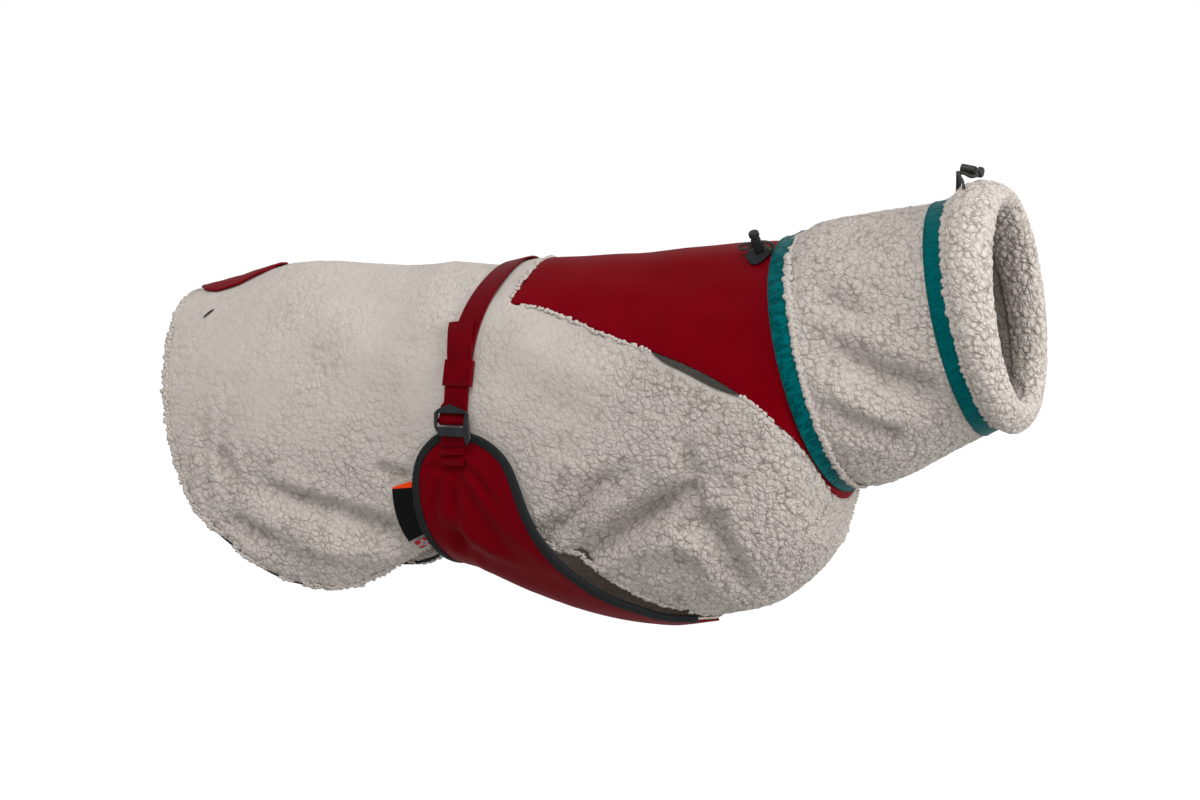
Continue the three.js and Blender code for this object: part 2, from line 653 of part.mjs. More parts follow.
function addSolid(name, body, surface, matrix) {
  const mesh = body.getMesh();
  const geometry = new THREE.BufferGeometry();
  geometry.setAttribute("position", new THREE.BufferAttribute(new Float32Array(mesh.vertProperties), 3));
  geometry.setIndex(new THREE.BufferAttribute(new Uint32Array(mesh.triVerts), 1));
  geometry.applyMatrix4(matrix);
  addMesh(name, Array.from(geometry.attributes.position.array), Array.from(geometry.index.array), surface);
}

// A flat hook buckle: a plate with a slot, a bar behind the slot for the strap, and a hook at its foot.
function buckles() {
  const outline = new THREE.Shape(BUCKLE_OUTLINE.map(([x, y]) => new THREE.Vector2(x, y)));
  const { left, right, bottom, top } = BUCKLE_SLOT;
  const corners = [[left, bottom], [right, bottom], [right, top], [left, top]];
  outline.holes.push(new THREE.Path(corners.map(([x, y]) => new THREE.Vector2(x, y))));
  const depth = BUCKLE_PLATE - 1;
  const bevel = { bevelThickness: 0.5, bevelSize: 0.5, bevelOffset: -0.5, bevelSegments: 1 };
  const plate = new THREE.ExtrudeGeometry(outline, { depth, ...bevel }).translate(0, 0, 0.5);
  const bar = new THREE.CylinderGeometry(BUCKLE_BAR_RADIUS, BUCKLE_BAR_RADIUS, 27, 12).rotateZ(Math.PI / 2);
  bar.translate(-1, 0, -BUCKLE_DROP);
  let body = solid(plate).add(solid(bar));
  for (const x of [-14, 12]) {
    const post = new THREE.BoxGeometry(2, 3, BUCKLE_DROP + 2).translate(x, 0, 1 - BUCKLE_DROP / 2);
    body = body.add(solid(post));
  }
  for (const { label, sign } of SIDES) {
    const { centre, normal, across } = strapFrame(sign * BUCKLE_ANGLE);
    const ahead = across.clone().multiplyScalar(Math.sign(across.x));
    const up = normal.clone().cross(ahead).multiplyScalar(sign > 0 ? 1 : -1);
    const matrix = new THREE.Matrix4().makeBasis(ahead, up, normal);
    matrix.setPosition(centre);
    matrix.multiply(new THREE.Matrix4().makeTranslation(0, 0, BUCKLE_BAR_LIFT));
    matrix.multiply(new THREE.Matrix4().makeRotationX(-BUCKLE_TILT * DEGREE));
    matrix.multiply(new THREE.Matrix4().makeTranslation(0, 0, BUCKLE_DROP));
    addSolid(`buckle_${label}`, body, material(METAL, 0.35, 0.9), matrix);
  }
}

// A thin piece that lies on the coat, between two edges given as functions of a share from 0 to 1.
function appliedSheet(name, rows, columns, start, end, height, thickness, surface) {
  const point = (i, j, at) => {
    const share = i / (rows - 1);
    const [station, angle] = start(share);
    const [toStation, toAngle] = end(share);
    const across = j / (columns - 1);
    return onBody(station + (toStation - station) * across, angle + (toAngle - angle) * across, at);
  };
  sheet(name, rows, columns, point, height + thickness, thickness, surface);
}

function labels() {
  const edge = (angle) => rowAt(PANEL_ROWS, "rearAngle", angle).rear;
  const labelEdge = (share) => [edge(115 + 20 * share) - 0.6, 115 + 20 * share];
  const labelSide = (share) => [labelEdge(share)[0] - 18 + 3 * share, 114.6 + 21.4 * share];
  appliedSheet("side_label", 9, 4, labelSide, labelEdge, 0.6, 0.8, material(BLACK, 0.6));
  const tabEdge = (share) => [edge(136.4 + 4 * share) - 0.6, 136.4 + 4 * share];
  const tabSide = (share) => [tabEdge(share)[0] - 12, 137.4 + 4 * share];
  appliedSheet("flag_tab", 4, 3, tabSide, tabEdge, 0.6, 0.8, material(0xa01020, 0.6));
}

// A reflective piping that lies below the yoke's lower seam at the shoulder.
function reflectiveTabs() {
  const first = 8.6;
  const span = 2.7;
  for (const { label, sign } of SIDES) {
    const point = (i, j, height) => {
      const share = i / 8;
      const ray = rowAt(numberedRays, "number", first + span * share);
      const width = 4.2 * Math.min(1, 5 * share, 5 * (1 - share)) + 0.4;
      const start = new THREE.Vector2(ray.yoke, ray.yokeAngle * GIRTH);
      const toHem = new THREE.Vector2(ray.hem, ray.hemAngle * GIRTH).sub(start).normalize();
      const place = start.addScaledVector(toHem, 0.8 + width * (j / 2));
      return onFleece(place.x, (sign * place.y) / GIRTH, height);
    };
    sheet(`reflective_tab_${label}`, 9, 3, point, SEAM + 0.8, 0.8, material(GREY, 0.4));
  }
}

// The patch of softshell over the tail, on both sides of the spine.
function tailPatch() {
  const point = (i, j, height) => {
    const { station, angle } = TAIL_PATCH[i];
    return onBody(station, angle * (1 - j / 4), height);
  };
  sheet("tail_patch", TAIL_PATCH.length, 9, point, 3 * SEAM + SHELL, SHELL, material(RED, 0.6));
}

// A drawcord, through points chosen by hand.
function cord(name, points, steps) {
  const section = new THREE.Shape();
  for (let k = 0; k < 8; k++) {
    const turn = (k / 8) * 2 * Math.PI;
    const corner = [CORD_RADIUS * Math.cos(turn), CORD_RADIUS * Math.sin(turn)];
    if (k === 0) section.moveTo(...corner);
    else section.lineTo(...corner);
  }
  const path = new THREE.CatmullRomCurve3(points, false, "centripetal");
  const geometry = new THREE.ExtrudeGeometry(section, { steps, extrudePath: path, bevelEnabled: false });
  addSolid(name, solid(geometry), material(CORD_GREY, 0.8), new THREE.Matrix4());
}

// A round solid on the z axis from its profile of radii and heights.
function turned(profile, sides) {
  const points = profile.map(([r, z]) => new THREE.Vector2(r, z));
  return solid(new THREE.LatheGeometry(points, sides).rotateX(Math.PI / 2));
}

const LOCK_BARREL = [[0, 0], [3.5, 0], [3.9, 0.6], [3.9, 11.4], [3.5, 12], [0, 12]];
const LOCK_PLUNGER = [[0, 12.3], [2.9, 12.3], [2.9, 13.4], [4.2, 14], [4.2, 17], [3.4, 18], [0, 18.3]];
const LOCK_HOLE = { height: 6.5, tall: 6.2, wide: 3.4 };
const LOCK_STATION = 33;
const LOCK_ANGLE = 24;

// The lock on the withers stands on a tab behind the neck casing. Its cord comes out of the casing, passes
// through the barrel, turns and goes back.
function withersLock() {
  const base = 1.2;
  const centre = onBody(LOCK_STATION, LOCK_ANGLE, base);
  const normal = ringNormal(BODY_RINGS, LOCK_STATION, LOCK_ANGLE);
  const ahead = onBody(LOCK_STATION + 1, LOCK_ANGLE, base).sub(centre).normalize();
  const side = normal.clone().cross(ahead).normalize();
  const frame = new THREE.Matrix4().makeBasis(ahead, side, normal).setPosition(centre);
  const { height, tall, wide } = LOCK_HOLE;
  const hole = solid(new THREE.BoxGeometry(20, wide, tall).translate(0, 0, height));
  addSolid("withers_lock", turned(LOCK_BARREL, 16).subtract(hole), material(CHARCOAL, 0.4), frame);
  addSolid("withers_lock_plunger", turned(LOCK_PLUNGER, 16), material(CHARCOAL, 0.4), frame);
  const point = (i, j, at) => {
    const across = i / 5 - 1;
    const station = LOCK_STATION + 10.5 * across;
    return onBody(station, LOCK_ANGLE - 4 + 13 * (j / 3) * (1 - 0.55 * across * across), at);
  };
  sheet("withers_tab", 11, 4, point, SEAM + 0.6, 0.9, material(BLACK, 0.8));
  const low = height - 1.45;
  const high = height + 1.45;
  const route = [
    [11, -4, 1.4],
    [8, -2.2, 3.2],
    [5, -0.2, low],
    [-5, 0, low],
    [-9.5, -1, low - 0.6],
    [-13, -0.8, low - 0.4],
    [-15.2, 0, height - 0.6],
    [-13.6, 0.6, high - 0.8],
    [-9.5, 0.6, high],
    [-5, 0, high],
    [5, 0, high],
    [8.4, 2.2, 5.4],
    [11, 4, 1.4],
  ];
  cord("withers_cord", route.map((p) => new THREE.Vector3(...p).applyMatrix4(frame)), 38);
}

// The lock on the collar lies on top of the cuff, held by a tab, with a loop of its cord on the right side.
function collarLock() {
  const tilt = -11 * DEGREE;
  const frame = new THREE.Matrix4().makeRotationY(Math.PI / 2 - tilt).setPosition(187.2, 0, 61.8);
  addSolid("collar_lock", turned(LOCK_BARREL, 16), material(CHARCOAL, 0.4), frame);
  addSolid("collar_lock_plunger", turned(LOCK_PLUNGER, 16), material(CHARCOAL, 0.4), frame);
  const line = [[184.6, 39.2], [184.8, 44], [185.1, 50], [185.1, 59.8]];
  const normal = new THREE.Vector3(-1, 0, 0);
  const across = new THREE.Vector3(0, 1, 0);
  const stops = line.map(([x, z]) => {
    return { frame: { centre: new THREE.Vector3(x, 0, z), normal, across }, height: 0 };
  });
  ribbon("collar_tab", stops, 4.5, 1.6, material(BLACK, 0.8));
  const root1 = surfacePoint(COLLAR_RINGS, 199, 19, 10.5);
  const route = [
    root1,
    new THREE.Vector3(193.6, -17, 52),
    new THREE.Vector3(188.2, -9.5, 58.4),
    new THREE.Vector3(192.2, -9.5, 58),
    new THREE.Vector3(199.2, -11.5, 55.4),
    new THREE.Vector3(202.8, -8.6, 56.8),
    new THREE.Vector3(200.8, -5.6, 59),
  ];
  cord("collar_cord", route, 26);
}

bodyFleece();
hemBinding();
yoke();
collar();
collarCuff();
neckCasing();
collarCasing();
bellyPanel();
bellyBinding();
strap();
keepers();
bellyLoops();
buckles();
labels();
reflectiveTabs();
tailPatch();
withersLock();
collarLock();

export default root;
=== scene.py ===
"""The looks of a dog winter coat: pile fleece, softshell, satin tape, webbing, buckles and cords."""
import math
import bmesh
import bpy
import numpy as np
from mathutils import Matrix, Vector
from mathutils.bvhtree import BVHTree


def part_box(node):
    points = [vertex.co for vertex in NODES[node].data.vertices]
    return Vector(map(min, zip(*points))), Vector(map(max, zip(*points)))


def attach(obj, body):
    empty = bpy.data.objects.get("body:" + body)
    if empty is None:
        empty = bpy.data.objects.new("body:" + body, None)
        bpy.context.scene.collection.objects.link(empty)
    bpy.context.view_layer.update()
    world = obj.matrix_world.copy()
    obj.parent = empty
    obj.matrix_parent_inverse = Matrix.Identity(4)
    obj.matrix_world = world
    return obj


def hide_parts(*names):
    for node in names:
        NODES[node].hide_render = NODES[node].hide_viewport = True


bl_info = {
    "name": "Dog Winter Coat",
    "version": (1, 0, 0),
    "blender": (4, 5, 0),
    "location": "View3D > Sidebar > Coat",
    "description": "Dresses the packed coat with pile, cloth, stitching and fittings",
    "category": "Object",
}

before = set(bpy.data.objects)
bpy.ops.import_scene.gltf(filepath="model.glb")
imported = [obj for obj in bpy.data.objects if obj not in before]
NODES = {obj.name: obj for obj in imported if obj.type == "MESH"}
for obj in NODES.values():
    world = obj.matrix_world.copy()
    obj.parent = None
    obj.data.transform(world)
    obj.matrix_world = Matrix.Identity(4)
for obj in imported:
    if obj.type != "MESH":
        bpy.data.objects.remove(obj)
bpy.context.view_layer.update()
MM = 0.001
SIDES = {"right": -1, "left": 1}

# The line down the middle of the hollow coat: how high it runs at each place along the back.
AXIS_X = np.array([-470, -200, 0, 60, 150, 250]) * MM
AXIS_Z = np.array([-130, -140, -130, -100, -60, -30]) * MM

# Creases of the body cloth as (points along the side in mm as x and z, half width, depth). A trough has a
# positive depth and a ridge a negative one.
BODY_FOLDS = [
    ([(-364, -201), (-316, -213), (-264, -227)], 8, 4.6),
    ([(-403, -224), (-366, -241)], 7, 3.0),
    ([(-412, -166), (-402, -190)], 6, 3.2),
    ([(-271, -179), (-242, -185)], 6, 3.0),
    ([(-427, -140), (-424, -215)], 4, 1.4),
    ([(-350, -232), (-300, -246), (-262, -250)], 9, -2.2),
    ([(-205, -22), (-196, -50)], 9, -1.0),
    ([(-129, -228), (-102, -216), (-86, -190), (-66, -179)], 8, 3.8),
    ([(-101, -241), (-64, -221), (-26, -199), (-9, -191)], 9, 5.6),
    ([(-140, -196), (-118, -176), (-96, -166)], 9, -1.8),
    ([(-5, -152), (-3, -174)], 6, 2.6),
    ([(-4, -184), (6, -210)], 6, 3.0),
    ([(-14, -214), (14, -214), (23, -262)], 9, 3.2),
    ([(-46, -236), (-16, -226), (8, -238)], 9, -2.6),
    ([(-160, -70), (-120, -92), (-70, -104)], 16, -1.8),
    ([(-330, -60), (-290, -84), (-250, -92)], 18, -1.6),
]
COLLAR_FOLDS = [
    ([(100, -38), (134, -54)], 8, 2.6),
    ([(108, -76), (140, -98), (180, -112)], 13, 5.2),
    ([(118, -134), (152, -142)], 8, 2.8),
    ([(112, -104), (150, -124)], 9, -2.0),
    ([(96, -14), (126, -20), (160, -14)], 12, -1.6),
]
YOKE_FOLDS = [
    ([(-40, -20), (-4, -34), (30, -44)], 9, 1.3),
    ([(-66, -10), (-30, -12), (8, -8)], 8, -1.4),
    ([(-150, -34), (-110, -50), (-70, -56)], 12, 0.9),
    ([(10, -120), (30, -150), (52, -170)], 8, 1.0),
    ([(-30, -70), (8, -92), (40, -100)], 14, -0.9),
]
# Gathers of the belly panel that fan down from its loop, and the long creases towards the chest.
PANEL_FOLDS = [
    ([(-203, -172), (-214, -186), (-220, -206)], 4, 2.0),
    ([(-200, -176), (-203, -204), (-202, -244)], 5, 2.2),
    ([(-198, -174), (-188, -198), (-170, -226)], 4.5, 1.6),
    ([(-196, -170), (-180, -184), (-168, -200)], 3.5, 1.6),
    ([(-206, -172), (-224, -178)], 3.5, 1.4),
    ([(-214, -226), (-184, -246), (-140, -268)], 6, 1.8),
    ([(-176, -222), (-150, -250), (-116, -270)], 7, 1.5),
    ([(-210, -206), (-196, -226), (-176, -246)], 6, -1.5),
]
# The sewn fold across each belly loop.
LOOP_FOLDS = [
    ([(-212, -160), (-188, -159)], 1.8, 1.1),
    ([(-212, -163.5), (-188, -162.5)], 1.6, -1.3),
    ([(-212, -167), (-188, -166)], 1.6, 0.9),
]
# Factors on the listed depths, for the body and collar and for the belly panel.
FLEECE_DEEP = 1.7
PANEL_DEEP = 1.3
# Creases of the left side: how far in mm they are moved, and their share of the right side's depth.
LEFT_SHIFT = 6.0
LEFT_SHARE = 0.8

# How far in mm the inner face of a fleece wall moves inwards before its remesh.
WALL_GAIN = 1.6
# How much deeper the pile's bump is than its curls.
PILE_BUMP = 1.5
# Share of the pile's height that is left where something lies on it.
PRESSED_PILE = 0.12
# How much paler the cuff's fleece is painted than the body's: painted light, a brighter copy of the same
# fleece where light falls on the cuff.
CUFF_PAINTED_LIGHT = 1.25
# A cloth piece keeps the edges that are sharper than this many degrees.
SHARP_EDGE = 42.0
# Least share of a face's way that has to point out of the coat for an outer face.
OUTER_LEAST = 0.35
# Half the coat's width in metres, roughly. It turns an angle round the coat into a length of cloth.
COAT_RADIUS = 0.1
# Front end of the belly panel: from where in metres it is drawn back, by what share, and how much it sinks.
DRAW_FROM = -0.06
DRAW_SHARE = 0.34
DRAW_SINK = 0.12
# Outline of the tail patch as a share of its box, and the most that a point moves out for it.
PATCH_REACH = 0.97
PATCH_MOST = 1.08
# The fill light's strength as a multiple of the key light's.
FILL_SHARE = 2.1


def put(tree, kind, sockets=None, **settings):
    """Adds a node, sets it up, and fills its sockets with values or with links."""
    node = tree.nodes.new(kind)
    for name, value in settings.items():
        setattr(node, name, value)
    for name, value in (sockets or {}).items():
        if isinstance(value, bpy.types.NodeSocket):
            tree.links.new(value, node.inputs[name])
        else:
            node.inputs[name].default_value = value
    return node


def calc(tree, operation, a, b=0.0):
    """One step of arithmetic."""
    return put(tree, "ShaderNodeMath", {0: a, 1: b}, operation=operation).outputs[0]


def times(tree, a, b):
    return calc(tree, "MULTIPLY", a, b)


def plus(tree, a, b):
    return calc(tree, "ADD", a, b)


def ramp(tree, value, low, high, start=0.0, end=1.0):
    """Value between low and high becomes start to end, softly."""
    sockets = {"Value": value, "From Min": low, "From Max": high, "To Min": start, "To Max": end}
    return put(tree, "ShaderNodeMapRange", sockets, interpolation_type="SMOOTHSTEP").outputs[0]


def cloud(tree, place, scale, detail=2.0, distortion=0.0):
    """Soft noise, scale per metre."""
    sockets = {"Vector": place, "Scale": scale, "Detail": detail, "Distortion": distortion}
    return put(tree, "ShaderNodeTexNoise", sockets)


def blend(tree, factor, first, second):
    """Two colours mixed."""
    node = put(tree, "ShaderNodeMix", {0: factor}, data_type="RGBA")
    for index, value in ((6, first), (7, second)):
        if isinstance(value, bpy.types.NodeSocket):
            tree.links.new(value, node.inputs[index])
        else:
            node.inputs[index].default_value = (*value[:3], 1.0)
    return node.outputs[2]


def dent(tree, height, distance, strength=1.0, normal=None):
    """A bump from a height, distance in metres."""
    sockets = {"Height": height, "Distance": distance, "Strength": strength}
    if normal is not None:
        sockets["Normal"] = normal
    return put(tree, "ShaderNodeBump", sockets).outputs[0]


def bands(tree, value, pitch, width):
    """1 on lines a pitch apart and 0 between them."""
    step = calc(tree, "PINGPONG", value, pitch / 2)
    return ramp(tree, step, width / 2, width / 2 + pitch * 0.12, 1.0, 0.0)


def curl_height(tree, place, size):
    """Height of the pile, roughly 0 to 1: rounded curls of about one size, with thin cracks between them."""
    warp = put(tree, "ShaderNodeVectorMath", {0: cloud(tree, place, 0.7 / size, 1.0).outputs[1],
                                              1: (0.5, 0.5, 0.5)}, operation="SUBTRACT")
    shift = put(tree, "ShaderNodeVectorMath", {0: warp.outputs[0], "Scale": size * 1.5}, operation="SCALE")
    moved = put(tree, "ShaderNodeVectorMath", {0: place, 1: shift.outputs[0]}, operation="ADD").outputs[0]
    middle = put(tree, "ShaderNodeTexVoronoi", {"Vector": moved, "Scale": 1 / size}, feature="F1").outputs[0]
    edge = put(tree, "ShaderNodeTexVoronoi", {"Vector": moved, "Scale": 1 / size},
               feature="DISTANCE_TO_EDGE").outputs[0]
    dome = calc(tree, "SUBTRACT", 1.0, times(tree, times(tree, middle, middle), 1.5))
    rise = ramp(tree, edge, 0.0, 0.3)
    lumps = cloud(tree, moved, 0.9 / size, 3.0, 0.5).outputs[0]
    tops = plus(tree, times(tree, dome, 0.46), times(tree, lumps, 0.42))
    return plus(tree, times(tree, rise, 0.22), tops)


def paint(name, color, roughness, **sockets):
    """A new material with its shader. Returns material, tree, shader."""
    material = bpy.data.materials.new(name)
    material.use_nodes = True
    tree = material.node_tree
    shader = tree.nodes["Principled BSDF"]
    shader.inputs["Base Color"].default_value = (*color[:3], 1.0)
    shader.inputs["Roughness"].default_value = roughness
    for key, value in sockets.items():
        shader.inputs[key.replace("_", " ")].default_value = value
    material.diffuse_color = (*color[:3], 1.0)
    return material, tree, shader


def feed(shader, name, source):
    """Links a source into one of the shader's sockets."""
    shader.id_data.links.new(source, shader.inputs[name])


def object_place(tree):
    return put(tree, "ShaderNodeTexCoord").outputs["Object"]


def uv_axes(tree):
    """The piece's own measure in metres: along it and across it."""
    place = put(tree, "ShaderNodeTexCoord").outputs["UV"]
    parts = put(tree, "ShaderNodeSeparateXYZ", {0: place})
    return parts.outputs[0], parts.outputs[1]


def tint(color, factor):
    return [min(1.0, part * factor) for part in color[:3]]


def fleece_material(name, color, size, depth):
    """Pile fleece: soft curls with painted shade darkening the cracks between them, and fine fibres."""
    material, tree, shader = paint(name, color, 0.95, Sheen_Weight=0.1, Sheen_Roughness=0.6,
                                   Specular_IOR_Level=0.05)
    place = object_place(tree)
    height = curl_height(tree, place, size)
    pile = put(tree, "ShaderNodeAttribute", attribute_name="pile").outputs["Fac"]
    parted = ramp(tree, cloud(tree, place, 0.4 / size, 2.0).outputs[0], 0.38, 0.62, 0.25, 1.0)
    # Painted shade: the colour darkens low in the cracks between the curls, where the pile is long and the
    # cloud lets it.
    crevice_shade = times(tree, ramp(tree, height, 0.3, 0.62, 1.0, 0.0), pile)
    crevice_shade = times(tree, crevice_shade, parted)
    patches = ramp(tree, cloud(tree, place, 26.0, 3.0).outputs[0], 0.3, 0.7)
    ground = blend(tree, patches, tint(color, 0.95), tint(color, 1.04))
    fibres = cloud(tree, place, 1500.0, 3.0, 0.5).outputs[0]
    lit = blend(tree, times(tree, fibres, 0.35), ground, tint(color, 1.16))
    # Colour of the painted shade at the bottom of the cracks.
    deep = [color[0] * 0.46, color[1] * 0.42, color[2] * 0.38]
    feed(shader, "Base Color", blend(tree, times(tree, crevice_shade, 0.62), lit, deep))
    curls = dent(tree, times(tree, height, pile), depth * PILE_BUMP, 0.9)
    nap = cloud(tree, place, 700.0, 3.0, 1.2).outputs[0]
    feed(shader, "Normal", dent(tree, nap, 0.0005, 0.6, curls))
    return material


def softshell_material(name, color):
    """Smooth tight cloth: a fine twill, faint ripples and a slight sheen."""
    material, tree, shader = paint(name, color, 0.6, Sheen_Weight=0.02, Sheen_Roughness=0.4,
                                   Sheen_Tint=(1.0, 0.02, 0.05, 1.0), Specular_IOR_Level=0.18,
                                   Specular_Tint=(1.0, 0.02, 0.05, 1.0))
    place = object_place(tree)
    along, across = uv_axes(tree)
    ripples = cloud(tree, place, 34.0, 3.0).outputs[0]
    feed(shader, "Base Color", blend(tree, ripples, tint(color, 0.86), tint(color, 1.14)))
    rib = bands(tree, plus(tree, along, across), 0.0007, 0.0003)
    twill = dent(tree, rib, 0.00008, 0.5)
    waves = dent(tree, ripples, 0.0016, 0.45, twill)
    feed(shader, "Normal", dent(tree, cloud(tree, place, 420.0, 2.0).outputs[0], 0.0002, 0.4, waves))
    return material


def tape_material(name, color, crinkle):
    """Shiny tape: streaks across it, painted as highlight and shade, and crinkles where it is gathered, where
    the painted streaks grow stronger.
    """
    material, tree, shader = paint(name, color, 0.34, Sheen_Weight=0.04, Sheen_Roughness=0.3,
                                   Sheen_Tint=(0.0, 1.0, 1.0, 1.0), Specular_IOR_Level=0.12,
                                   Specular_Tint=(0.0, 1.0, 1.0, 1.0))
    place = object_place(tree)
    along, across = uv_axes(tree)
    stretched = put(tree, "ShaderNodeCombineXYZ", {0: times(tree, along, 80.0 + 60.0 * crinkle),
                                                   1: times(tree, across, 260.0)}).outputs[0]
    streaks = put(tree, "ShaderNodeTexNoise", {"Vector": stretched, "Scale": 1.0, "Detail": 2.0,
                                               "Distortion": 0.8}).outputs[0]
    # Painted highlight and painted shade: the streaks turn paler on their crests and darker in their troughs,
    # more so where the tape crinkles.
    shade = ramp(tree, streaks, 0.32, 0.68)
    feed(shader, "Base Color",
         blend(tree, shade, tint(color, 0.9 - 0.3 * crinkle), tint(color, 1.05 + 0.2 * crinkle)))
    folds = dent(tree, streaks, 0.0022 * crinkle, 0.9)
    threads = bands(tree, across, 0.0006, 0.00025)
    fine = dent(tree, threads, 0.00006, 0.5, folds)
    feed(shader, "Normal", dent(tree, cloud(tree, place, 300.0, 2.0).outputs[0], 0.0004 * crinkle, 0.5, fine))
    return material


def woven_material(name, color, pitch, relief, roughness=0.6, shine=0.05):
    """Webbing and ribbon: rows of ribs across, crossed by finer threads, with painted shade in the grooves of
    the weave, and a little wear.
    """
    gloss = tint(color, 1 / max(color))
    material, tree, shader = paint(name, color, roughness, Sheen_Weight=shine, Sheen_Roughness=0.4,
                                   Sheen_Tint=(*gloss, 1.0), Specular_IOR_Level=0.25,
                                   Specular_Tint=(*gloss, 1.0))
    along, across = uv_axes(tree)
    place = object_place(tree)
    stagger = times(tree, bands(tree, across, pitch * 2, pitch * 0.8), pitch / 2)
    ribs = bands(tree, plus(tree, along, stagger), pitch, pitch * 0.35)
    threads = bands(tree, across, pitch, pitch * 0.3)
    weave = plus(tree, times(tree, ribs, 0.6), times(tree, threads, 0.4))
    worn = ramp(tree, cloud(tree, place, 90.0, 3.0).outputs[0], 0.35, 0.7)
    base = blend(tree, worn, tint(color, 0.88), tint(color, 1.12))
    # Painted shade: the colour darkens in the weave's grooves, which the bump presses in.
    feed(shader, "Base Color", blend(tree, times(tree, weave, 0.5), base, tint(color, 0.55)))
    feed(shader, "Normal", dent(tree, weave, -relief, 0.8))
    return material


def metal_material(name, color, roughness):
    """Anodised metal with a fine satin grain."""
    material, tree, shader = paint(name, color, roughness, Metallic=0.85, Specular_IOR_Level=0.5)
    place = object_place(tree)
    grain = cloud(tree, place, 1800.0, 2.0).outputs[0]
    wear = ramp(tree, cloud(tree, place, 160.0, 4.0).outputs[0], 0.45, 0.75)
    feed(shader, "Base Color", blend(tree, wear, color, tint(color, 1.35)))
    feed(shader, "Roughness", ramp(tree, grain, 0.2, 0.8, roughness - 0.06, roughness + 0.1))
    feed(shader, "Normal", dent(tree, grain, 0.00004, 0.5))
    return material


def plastic_material(name, color, roughness):
    """Moulded plastic: a fine grain and slightly paler rubbed places."""
    material, tree, shader = paint(name, color, roughness, Specular_IOR_Level=0.5)
    place = object_place(tree)
    rubbed = ramp(tree, cloud(tree, place, 220.0, 3.0).outputs[0], 0.45, 0.8)
    feed(shader, "Base Color", blend(tree, rubbed, color, tint(color, 1.7)))
    feed(shader, "Normal", dent(tree, cloud(tree, place, 2200.0, 2.0).outputs[0], 0.00005, 0.5))
    return material


def cord_material(name, color):
    """Braided elastic cord: two sets of strands that cross, with painted shade in the grooves between them.
    """
    material, tree, shader = paint(name, color, 0.6, Sheen_Weight=0.04, Specular_IOR_Level=0.3)
    along, across = uv_axes(tree)
    lean = times(tree, across, 0.7)
    first = bands(tree, plus(tree, along, lean), 0.0011, 0.0003)
    second = bands(tree, calc(tree, "SUBTRACT", along, lean), 0.0011, 0.0003)
    braid = calc(tree, "MAXIMUM", first, second)
    # Painted shade: the colour darkens in the grooves between the strands, which the bump presses in.
    feed(shader, "Base Color", blend(tree, braid, tint(color, 1.15), tint(color, 0.45)))
    feed(shader, "Normal", dent(tree, braid, -0.00018, 0.8))
    return material


def label_material(name, color, fold_color, fold_width):
    """Woven label: black, with a coloured fold along its top end."""
    material, tree, shader = paint(name, color, 0.55, Sheen_Weight=0.01, Specular_IOR_Level=0.1)
    along, across = uv_axes(tree)
    ribs = bands(tree, across, 0.0005, 0.0002)
    top = ramp(tree, along, fold_width, fold_width + 0.0003, 1.0, 0.0)
    cloth = blend(tree, times(tree, ribs, 0.5), color, tint(color, 1.9))
    feed(shader, "Base Color", blend(tree, top, cloth, fold_color))
    feed(shader, "Normal", dent(tree, ribs, 0.00006, 0.6))
    return material


def flag_material(name, red, white, navy, centre, arms):
    """Woven flag: red with a white-edged dark cross."""
    material, tree, shader = paint(name, red, 0.6, Sheen_Weight=0.02, Specular_IOR_Level=0.15)
    along, across = uv_axes(tree)

    def bar(value, middle, width):
        off = calc(tree, "ABSOLUTE", calc(tree, "SUBTRACT", value, middle))
        return ramp(tree, off, width / 2, width / 2 + 0.0001, 1.0, 0.0)

    wide = calc(tree, "MAXIMUM", bar(along, centre[0], arms[0]), bar(across, centre[1], arms[0]))
    slim = calc(tree, "MAXIMUM", bar(along, centre[0], arms[1]), bar(across, centre[1], arms[1]))
    ground = blend(tree, wide, red, white)
    feed(shader, "Base Color", blend(tree, slim, ground, navy))
    feed(shader, "Normal", dent(tree, bands(tree, across, 0.0004, 0.0002), 0.00005, 0.6))
    return material


def thread_material(name, color):
    """Sewing thread: a slight shine and a twist."""
    material, tree, shader = paint(name, color, 0.5, Sheen_Weight=0.04, Specular_IOR_Level=0.2)
    twist = cloud(tree, object_place(tree), 1600.0, 2.0).outputs[0]
    feed(shader, "Base Color", blend(tree, twist, tint(color, 0.75), tint(color, 1.25)))
    feed(shader, "Normal", dent(tree, twist, 0.0001, 0.6))
    return material


def activate(piece):
    bpy.ops.object.select_all(action="DESELECT")
    piece.select_set(True)
    bpy.context.view_layer.objects.active = piece


def apply(piece, kind, **settings):
    """Adds a modifier, sets it up and applies it."""
    activate(piece)
    modifier = piece.modifiers.new(kind.title(), kind)
    for name, value in settings.items():
        setattr(modifier, name, value)
    bpy.ops.object.modifier_apply(modifier=modifier.name)


def new_piece(name, points, faces):
    mesh = bpy.data.meshes.new(name)
    mesh.from_pydata([tuple(point) for point in points], [], faces)
    mesh.update()
    piece = bpy.data.objects.new(name, mesh)
    bpy.context.scene.collection.objects.link(piece)
    return piece


def face_outward(piece):
    """Turns the faces of closed forms to their outside."""
    work = bmesh.new()
    work.from_mesh(piece.data)
    bmesh.ops.recalc_face_normals(work, faces=work.faces)
    work.to_mesh(piece.data)
    work.free()


